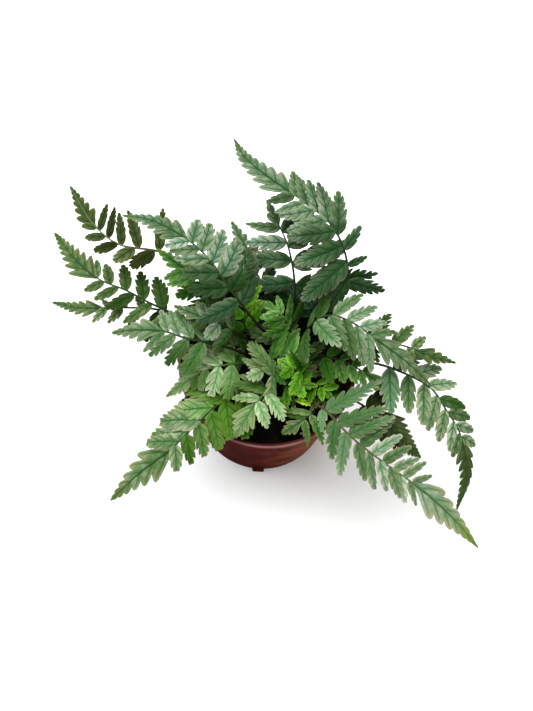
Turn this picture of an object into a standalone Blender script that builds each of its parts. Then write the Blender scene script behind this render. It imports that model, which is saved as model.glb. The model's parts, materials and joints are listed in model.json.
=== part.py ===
# Potted lady fern: a round nursery pot filled with soil, and arching fronds that stand in the soil.
# Lengths are metres and +Z is up. The origin is the middle of the pot's flat underside.

import math

import bmesh
import bpy
from mathutils import Vector, noise

MM = 0.001

# Pot, a thin moulded plastic nursery pot of 12 cm
POT_HEIGHT = 0.095
RIM_RADIUS = 0.060
FOOT_RADIUS = 0.047
POT_WALL = 0.0014
POT_FLOOR = 0.0020
FLOOR_BEND = 0.0020
FLOOR_BEND_RISE = 0.0030
FOOT_EDGE = 0.0020
LIP_HEIGHT = 0.0040
LIP_OVERHANG = 0.0014
LIP_EDGE = 0.0007
POT_SIDES = 30
POT_COLOUR = (0.150, 0.032, 0.022)
POT_ROUGHNESS = 0.42
DRAIN_HOLES = 6
DRAIN_RADIUS = 0.0040
DRAIN_CIRCLE = 0.034
DRAIN_SIDES = 8
DRAIN_CUT = (-0.002, 0.006)
FOOT_LUGS = 4
LUG_SIZE = (0.0040, 0.0085, 0.0050)
LUG_REACH = 0.0024
LUG_TURN = -86

# Soil
SOIL_LEVEL = 0.084
SOIL_CROWN = 0.0015
SOIL_LUMPS = 0.0011
FINE_LUMPS_SHARE = 0.6
COARSE_LUMPS_PER_METRE = 90
FINE_LUMPS_PER_METRE = 210
SOIL_RINGS = 3
SOIL_SIDES = 26
SOIL_COLOUR = (0.018, 0.012, 0.009)
SOIL_ROUGHNESS = 0.95
FIT_GAP = 0.0003
RIM_GAP = 0.0005
HOLE_SIDES = 5
HOLE_CLEARANCE = 0.0006
HOLE_TOP = 0.104

# Fronds
ROOT_DEPTH = 0.010
STEM_FOOT_RISE = 0.0045
BLADE_THICKNESS = 0.00064
RIB_THICKNESS = 0.00110
RIB_HALF_WIDTH = 0.00060
PATH_STEPS = 64
STEM_STEPS = 5
STEM_OVERLAP = 0.006
STEM_TAPER = 0.18
STEM_END_RADIUS = 0.0004
THIN_STEM = 0.00082
LEAF_ROUGHNESS = 0.45
SMOOTH_ANGLE = 40

# Leaflets: steps between them, as shares of the first step, and how the last ones join into a pointed tip
FREE_CLOSING = 0.25
JOINED_STEP = 0.62
JOINED_CLOSING = 0.32
LEAFY_SHARE = 0.975
JOINED_WEB = 0.58
WEB_NARROWING = 0.92
LEAST_WEB = 0.0005
LEAST_REACH = 0.0012
TOOTH_LEAN = 0.12
LEAFLET_CURL = 0.06
LEAFLET_ROOM = 0.95
LEAFLET_FOOT_SHARE = 0.55
LEAFLET_FOOT = 0.0044
LONG_LEAFLET = 0.021
SHORT_LEAFLET = 0.006

# A leaflet's edge from its foot to near its tip: share of its length, share of its half width
LEAFLET_EDGES = {
    "short": [(0.36, 1.0)],
    "middle": [(0.24, 0.92), (0.64, 0.72)],
    "long": [(0.19, 0.94), (0.36, 0.82), (0.50, 0.95), (0.78, 0.52)],
}

LEAF_COLOURS = {
    "green": (0.085, 0.175, 0.080),
    "pale": (0.230, 0.360, 0.220),
    "blue": (0.070, 0.150, 0.110),
    "olive": (0.080, 0.110, 0.035),
    "young": (0.130, 0.330, 0.045),
    "newest": (0.330, 0.560, 0.110),
}


def clear_scene():
    for item in list(bpy.data.objects):
        bpy.data.objects.remove(item, do_unlink=True)


def new_collection(name):
    collection = bpy.data.collections.new(name)
    bpy.context.scene.collection.children.link(collection)
    return collection


def principled(name, colour, roughness, metallic=0.0):
    material = bpy.data.materials.new(name)
    material.use_nodes = True
    shader = material.node_tree.nodes["Principled BSDF"]
    shader.inputs["Base Color"].default_value = (*colour, 1.0)
    shader.inputs["Roughness"].default_value = roughness
    shader.inputs["Metallic"].default_value = metallic
    return material


def mesh_object(name, mesh, collection, material=None):
    item = bpy.data.objects.new(name, mesh)
    collection.objects.link(item)
    if material:
        mesh.materials.append(material)
    return item


def shade_round(item):
    item.data.shade_smooth()
    item.data.set_sharp_from_angle(angle=math.radians(SMOOTH_ANGLE))


def baked(item, name):
    """Gives a plain mesh object in place of one with modifiers or of a curve, its caps welded."""
    graph = bpy.context.evaluated_depsgraph_get()
    mesh = bpy.data.meshes.new_from_object(item.evaluated_get(graph))
    shape = bmesh.new()
    shape.from_mesh(mesh)
    bmesh.ops.remove_doubles(shape, verts=shape.verts, dist=0.000002)
    shape.to_mesh(mesh)
    shape.free()
    plain = bpy.data.objects.new(name, mesh)
    plain.matrix_world = item.matrix_world
    for collection in item.users_collection:
        collection.objects.link(plain)
    bpy.data.objects.remove(item, do_unlink=True)
    return plain


def turned(name, profile, sides, collection, material):
    """Turns a profile of (radius, height) points about the vertical axis."""
    mesh = bpy.data.meshes.new(name)
    points = [(radius, 0.0, height) for radius, height in profile]
    mesh.from_pydata(points, [(i, i + 1) for i in range(len(points) - 1)], [])
    item = mesh_object(name, mesh, collection, material)
    screw = item.modifiers.new("Turn", "SCREW")
    screw.steps = sides
    screw.render_steps = sides
    screw.use_merge_vertices = True
    screw.merge_threshold = 0.00001
    whole = baked(item, name + "_whole")
    whole.name = name
    shade_round(whole)
    return whole


def add_boolean(item, operation, tools, solver="EXACT"):
    boolean = item.modifiers.new(operation.title(), "BOOLEAN")
    boolean.operation = operation
    boolean.operand_type = "COLLECTION"
    boolean.collection = tools
    boolean.solver = solver
    return boolean


def hide_cutter(item):
    item.hide_render = True
    item.display_type = "WIRE"


def cylinder(name, radius, low, high, sides, place, collection):
    bpy.ops.mesh.primitive_cylinder_add(
        vertices=sides,
        radius=radius,
        depth=high - low,
        location=(place[0], place[1], (low + high) / 2),
    )
    item = bpy.context.object
    item.name = name
    for holder in item.users_collection:
        holder.objects.unlink(item)
    collection.objects.link(item)
    return item


# The pot: a turned wall with a thin lip, drain holes in its floor and small lugs round its foot


def wall_radius(height):
    slope = (RIM_RADIUS - LIP_OVERHANG - FOOT_RADIUS) / POT_HEIGHT
    return FOOT_RADIUS + slope * height


def make_pot(parts, cutters, joined):
    lip_low = POT_HEIGHT - LIP_HEIGHT
    inner_top = wall_radius(POT_HEIGHT) - POT_WALL
    inner_foot = wall_radius(POT_FLOOR) - POT_WALL
    profile = [
        (0.0, POT_FLOOR),
        (inner_foot - FLOOR_BEND, POT_FLOOR),
        (inner_foot, POT_FLOOR + FLOOR_BEND_RISE),
        (inner_top, POT_HEIGHT - LIP_EDGE),
        (inner_top + LIP_EDGE, POT_HEIGHT),
        (RIM_RADIUS - LIP_EDGE, POT_HEIGHT),
        (RIM_RADIUS, POT_HEIGHT - LIP_EDGE),
        (RIM_RADIUS, lip_low),
        (wall_radius(lip_low), lip_low),
        (wall_radius(FOOT_EDGE), FOOT_EDGE),
        (FOOT_RADIUS - FOOT_EDGE, 0.0),
        (0.0, 0.0),
    ]
    plastic = principled("pot_plastic", POT_COLOUR, POT_ROUGHNESS)
    pot = turned("pot", profile, POT_SIDES, parts, plastic)
    for index in range(FOOT_LUGS):
        angle = math.radians(LUG_TURN) + index * math.tau / FOOT_LUGS
        bpy.ops.mesh.primitive_cube_add(size=1)
        lug = bpy.context.object
        lug.name = f"foot_lug_{index + 1}"
        reach = FOOT_RADIUS + LUG_REACH - LUG_SIZE[0] / 2
        lug.location = (reach * math.cos(angle), reach * math.sin(angle), LUG_SIZE[2] / 2)
        lug.rotation_euler = (0, 0, angle)
        lug.scale = LUG_SIZE
        for holder in lug.users_collection:
            holder.objects.unlink(lug)
        joined.objects.link(lug)
        hide_cutter(lug)
    for index in range(DRAIN_HOLES):
        angle = (index + 0.5) * math.tau / DRAIN_HOLES
        place = (DRAIN_CIRCLE * math.cos(angle), DRAIN_CIRCLE * math.sin(angle))
        hole = cylinder(f"drain_hole_{index + 1}", DRAIN_RADIUS, *DRAIN_CUT, DRAIN_SIDES, place, cutters)
        hide_cutter(hole)
    add_boolean(pot, "UNION", joined)
    add_boolean(pot, "DIFFERENCE", cutters)
    return pot


# The soil: fills the pot up to a little below its rim, with one plain hole for each stem


def soil_top(x, y):
    """Height of the lumpy soil at a place, a little crowned in the middle."""
    away = math.hypot(x, y) / RIM_RADIUS
    lumps = noise.noise(Vector((x, y, 0.04)) * COARSE_LUMPS_PER_METRE)
    lumps += FINE_LUMPS_SHARE * noise.noise(Vector((x, y, 0.07)) * FINE_LUMPS_PER_METRE)
    return SOIL_LEVEL + SOIL_CROWN * (1 - away * away) + SOIL_LUMPS * lumps


def make_soil(parts, cutters, roots):
    top_radius = wall_radius(SOIL_LEVEL) - POT_WALL - RIM_GAP
    low_radius = wall_radius(POT_FLOOR) - POT_WALL - FLOOR_BEND - FIT_GAP
    profile = [(0.0, SOIL_LEVEL)]
    profile += [(top_radius * ring / SOIL_RINGS, SOIL_LEVEL) for ring in range(1, SOIL_RINGS + 1)]
    profile += [
        (low_radius + FLOOR_BEND / 2, POT_FLOOR + FLOOR_BEND_RISE),
        (low_radius, POT_FLOOR + FIT_GAP),
        (0.0, POT_FLOOR + FIT_GAP),
    ]
    earth = principled("potting_soil", SOIL_COLOUR, SOIL_ROUGHNESS)
    soil = turned("soil", profile, SOIL_SIDES, parts, earth)
    for corner in soil.data.vertices:
        if corner.co.z > SOIL_LEVEL - 0.001:
            corner.co.z = soil_top(corner.co.x, corner.co.y)
    for name, root, radius in roots:
        wide = radius + HOLE_CLEARANCE
        low = SOIL_LEVEL - ROOT_DEPTH - FIT_GAP
        hole = cylinder(f"hole_{name}", wide, low, HOLE_TOP, HOLE_SIDES, root, cutters)
        hide_cutter(hole)
    add_boolean(soil, "DIFFERENCE", cutters)
    return soil


# A stem's route and the frame that goes along it


def smooth_route(points, steps):
    """Evenly spaced points on a smooth curve through the given ones, by the chords' square roots."""
    padded = [points[0] * 2 - points[1], *points, points[-1] * 2 - points[-2]]
    dense = []
    for first, a, b, last in zip(padded, padded[1:], padded[2:], padded[3:]):
        t0 = 0.0
        t1 = t0 + max((a - first).length, 1e-6) ** 0.5
        t2 = t1 + max((b - a).length, 1e-6) ** 0.5
        t3 = t2 + max((last - b).length, 1e-6) ** 0.5
        for step in range(16):
            t = t1 + (t2 - t1) * step / 16
            a1 = first * ((t1 - t) / (t1 - t0)) + a * ((t - t0) / (t1 - t0))
            a2 = a * ((t2 - t) / (t2 - t1)) + b * ((t - t1) / (t2 - t1))
            a3 = b * ((t3 - t) / (t3 - t2)) + last * ((t - t2) / (t3 - t2))
            b1 = a1 * ((t2 - t) / (t2 - t0)) + a2 * ((t - t0) / (t2 - t0))
            b2 = a2 * ((t3 - t) / (t3 - t1)) + a3 * ((t - t1) / (t3 - t1))
            dense.append(b1 * ((t2 - t) / (t2 - t1)) + b2 * ((t - t1) / (t2 - t1)))
    dense.append(points[-1])
    lengths = [0.0]
    for a, b in zip(dense, dense[1:]):
        lengths.append(lengths[-1] + (b - a).length)
    route = []
    place = 0
    for step in range(steps + 1):
        target = lengths[-1] * step / steps
        while place < len(dense) - 2 and lengths[place + 1] < target:
            place += 1
        span = lengths[place + 1] - lengths[place]
        route.append(dense[place].lerp(dense[place + 1], (target - lengths[place]) / span))
    return route, lengths[-1]


class Stalk:
    """The line of one frond's stem, which gives its place and its own directions at each length."""

    def __init__(self, points, roll):
        self.route, self.length = smooth_route(points, PATH_STEPS)
        self.roll = roll
        heading = points[-1] - points[0]
        self.heading = Vector((heading.x, heading.y, 0)).normalized()

    def at(self, run):
        """Place, forward, right and up directions at a length along the stem."""
        share = min(max(run / self.length, 0.0), 1.0) * PATH_STEPS
        index = min(int(share), PATH_STEPS - 1)
        place = self.route[index].lerp(self.route[index + 1], share - index)
        before = self.route[max(index - 1, 0)]
        after = self.route[min(index + 2, PATH_STEPS)]
        forward = (after - before).normalized()
        flat = math.sqrt(max(1 - forward.z * forward.z, 0.0))
        up = Vector((0, 0, 1)) * flat - self.heading * forward.z
        up = (up - forward * up.dot(forward)).normalized()
        right = forward.cross(up)
        angle = math.radians(self.roll[0] + (self.roll[1] - self.roll[0]) * run / self.length)
        turned_right = right * math.cos(angle) - up * math.sin(angle)
        turned_up = up * math.cos(angle) + right * math.sin(angle)
        return place, forward, turned_right, turned_up


# Leaflets: each is an outline of toothed edges, cut to the rib


def leaflet_edge(kind, width):
    """Points of one edge of a leaflet, as (share of its length, distance from its midrib)."""
    return [(part, share * width / 2) for part, share in LEAFLET_EDGES[kind]]


def three_part(values, share, turn):
    """A value that goes from the first of three at the foot past the second to the third at the tip."""
    foot, middle, tip = values
    if share < turn:
        return foot + (middle - foot) * share / turn
    return middle + (tip - middle) * (share - turn) / (1 - turn)


class Blade:
    """The leafy part of a frond: a thin sheet with a rib and leaflets on both its sides."""

    def __init__(self, stalk, settings):
        self.stalk = stalk
        self.settings = settings
        self.shape = bmesh.new()
        self.rib = []
        self.thin = []

    def corner(self, place, on_rib):
        point = self.shape.verts.new(place)
        (self.rib if on_rib else self.thin).append(point)
        return point

    def stations(self):
        """Where each leaflet of one side begins and ends along the stem, with its length and kind."""
        plan = self.settings
        free, joined = plan["free"], plan["joined"]
        steps = [1.0 - FREE_CLOSING * index / free for index in range(free)]
        steps += [JOINED_STEP - JOINED_CLOSING * index / joined for index in range(joined)]
        blade = plan["blade"]
        start = self.stalk.length - blade
        unit = blade * LEAFY_SHARE / sum(steps)
        run = start
        found = []
        for index, step in enumerate(steps):
            middle = run + unit * step * 0.5
            share = (middle - start) / blade
            reach = plan["longest"] * (1 - share) ** plan["taper"]
            base = min(unit * step * LEAFLET_FOOT_SHARE, LEAFLET_FOOT) / 2
            if index < free:
                found.append((middle - base, middle + base, reach, share, unit * step))
            else:
                found.append((run, run + unit * step, max(reach, LEAST_REACH), share, 0.0))
            run += unit * step
        return found

    def side(self, sign, offset):
        """Adds one side's rib corners and its leaflets, and gives the corners in order."""
        plan = self.settings
        corners = []
        last_joined = None
        for index, (begin, end, reach, share, pitch) in enumerate(self.stations()):
            is_free = pitch > 0
            reach *= plan["sides"][0 if sign < 0 else 1]
            if index == 0:
                reach *= plan["basal"][0 if sign < 0 else 1]
            shift = offset if is_free else 0.0
            half = RIB_HALF_WIDTH if is_free else max(reach * JOINED_WEB, LEAST_WEB)
            ends = []
            for run in (begin + shift, end + shift):
                if not is_free and last_joined is not None and run == last_joined[0]:
                    ends.append(last_joined[1])
                    continue
                place, forward, right, up = self.stalk.at(run)
                wide = half * (1.0 if is_free or run == begin else WEB_NARROWING)
                corner = self.corner(place + right * sign * wide, is_free)
                corners.append((run, corner))
                ends.append(corner)
            if not is_free:
                last_joined = (end, ends[1])
            self.leaflet(sign, begin + shift, end + shift, ends, reach, share, pitch)
        return corners

    def leaflet(self, sign, begin, end, ends, reach, share, pitch):
        plan = self.settings
        lean = three_part(plan["lean"], share, plan["turn"]) - sign * plan["skew"] * (1 - share)
        lean = math.radians(lean)
        droop = three_part(plan["droop"], share, plan["turn"])
        middle, forward, right, up = self.stalk.at((begin + end) / 2)
        outward = right * sign
        along = forward * math.cos(lean) + outward * math.sin(lean)
        across = forward * math.sin(lean) - outward * math.cos(lean)
        base = (ends[0].co + ends[1].co) / 2
        room = reach - (base - middle).length

        def place(part, aside):
            lift = plan["lift"] * part - droop * part * part
            curl = LEAFLET_CURL * part * part
            return base + along * room * part + across * (aside + curl * room) + up * room * lift

        if pitch == 0:
            tip = self.corner(place(1.0, TOOTH_LEAN * (end - begin)), False)
            self.face([ends[0], tip, ends[1]], sign)
            return
        width = min(room * plan["width"], pitch * math.sin(lean) * LEAFLET_ROOM)
        kind = "long" if room > LONG_LEAFLET else "middle" if room > SHORT_LEAFLET else "short"
        edge = leaflet_edge(kind, width)
        lower = [self.corner(place(part, -aside), False) for part, aside in edge]
        upper = [self.corner(place(part, aside), False) for part, aside in edge]
        tip = self.corner(place(1.0, 0.0), False)
        lower = [ends[0], *lower]
        upper = [ends[1], *upper]
        for index in range(len(lower) - 1):
            self.face([lower[index], lower[index + 1], upper[index + 1]], sign)
            self.face([lower[index], upper[index + 1], upper[index]], sign)
        self.face([lower[-1], tip, upper[-1]], sign)

    def face(self, ring, sign):
        self.shape.faces.new(ring if sign > 0 else ring[::-1])

    def build(self, name, collection):
        plan = self.settings
        start = self.stalk.length - plan["blade"] - plan["lead"]
        half_step = plan["blade"] / 2 / (plan["free"] + plan["joined"] / 2)
        sides = []
        for sign in (1.0, -1.0):
            offset = half_step * max(-sign * plan["stagger"], 0.0)
            place, forward, right, up = self.stalk.at(start)
            first = self.corner(place + right * sign * RIB_HALF_WIDTH, True)
            sides.append([(start, first), *self.side(sign, offset)])
        tip = self.corner(self.stalk.at(self.stalk.length)[0], False)
        rights, lefts = sides
        i = j = 0
        while i < len(rights) - 1 or j < len(lefts) - 1:
            step_right = j >= len(lefts) - 1
            if i < len(rights) - 1 and j < len(lefts) - 1:
                step_right = rights[i + 1][0] <= lefts[j + 1][0]
            if step_right:
                self.face([lefts[j][1], rights[i][1], rights[i + 1][1]], 1.0)
                i += 1
            else:
                self.face([lefts[j][1], rights[i][1], lefts[j + 1][1]], 1.0)
                j += 1
        self.face([lefts[j][1], rights[i][1], tip], 1.0)
        mesh = bpy.data.meshes.new(name)
        self.shape.verts.index_update()
        thick = [corner.index for corner in self.rib]
        self.shape.to_mesh(mesh)
        self.shape.free()
        item = mesh_object(name, mesh, collection)
        group = item.vertex_groups.new(name="rib")
        group.add(thick, 1.0, "REPLACE")
        solidify = item.modifiers.new("Thickness", "SOLIDIFY")
        solidify.thickness = RIB_THICKNESS
        solidify.offset = 0.0
        solidify.vertex_group = "rib"
        solidify.thickness_vertex_group = BLADE_THICKNESS / RIB_THICKNESS
        return baked(item, name)


def make_stem(name, stalk, plan, collection):
    """The bare stem, from its foot in the soil to where the rib begins, as a tapering tube."""
    end = stalk.length - plan["blade"] - plan["lead"] + STEM_OVERLAP
    curve = bpy.data.curves.new(name, "CURVE")
    curve.dimensions = "3D"
    curve.bevel_depth = 1.0
    curve.bevel_resolution = 1 if plan["stem"] > THIN_STEM else 0
    curve.use_fill_caps = True
    foot = ROOT_DEPTH + STEM_FOOT_RISE
    runs = [0.0, foot]
    runs += [foot + (end - STEM_OVERLAP - foot) * step / STEM_STEPS for step in range(1, STEM_STEPS + 1)]
    runs.append(end)
    spline = curve.splines.new("POLY")
    spline.points.add(len(runs) - 1)
    for point, run in zip(spline.points, runs):
        point.co = (*stalk.at(run)[0], 1.0)
        point.radius = plan["stem"] * (1 - STEM_TAPER * run / end)
    spline.points[-1].radius = STEM_END_RADIUS
    item = bpy.data.objects.new(name, curve)
    collection.objects.link(item)
    return baked(item, name)


def grow_frond(parts, name, plan):
    """One frond, its stem and its leafy blade joined into a single body."""
    root = plan["root"]
    points = [
        Vector((*root, SOIL_LEVEL - ROOT_DEPTH)),
        Vector((*root, SOIL_LEVEL - ROOT_DEPTH / 2)),
        Vector((*root, SOIL_LEVEL + STEM_FOOT_RISE)),
    ]
    points += plan["route"]
    stalk = Stalk(points, plan["roll"])
    tools = new_collection("joined_" + name)
    blade = Blade(stalk, plan).build(name + "_blade", tools)
    frond = make_stem(name + "_stem", stalk, plan, parts)
    add_boolean(frond, "UNION", tools)
    frond = baked(frond, name + "_whole")
    frond.name = name
    bpy.data.objects.remove(blade, do_unlink=True)
    bpy.data.collections.remove(tools)
    colour = LEAF_COLOURS[plan["leaf"]]
    frond.data.materials.clear()
    frond.data.materials.append(principled(name + "_leaf", colour, LEAF_ROUGHNESS))
    shade_round(frond)
    return frond


def frond_plan(leaf, root, route, blade, free, joined, longest, **other):
    """A frond's dimensions, given in millimetres and degrees, with the usual values filled in."""
    plan = {
        "leaf": leaf,
        "root": (root[0] * MM, root[1] * MM),
        "route": [Vector(point) * MM for point in route],
        "blade": blade * MM,
        "free": free,
        "joined": joined,
        "longest": longest * MM,
        "taper": 1.1,
        "basal": (1.0, 1.0),
        "sides": (1.0, 1.0),
        "lean": (66, 56, 42),
        "skew": 8,
        "turn": 0.35,
        "stagger": 0.45,
        "roll": (0, 0),
        "lift": 0.10,
        "droop": (0.30, 0.20, 0.12),
        "width": 0.46,
        "stem": 1.0,
        "lead": 5.0,
    }
    plan.update(other)
    plan["stem"] *= MM
    plan["lead"] *= MM
    return plan


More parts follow.
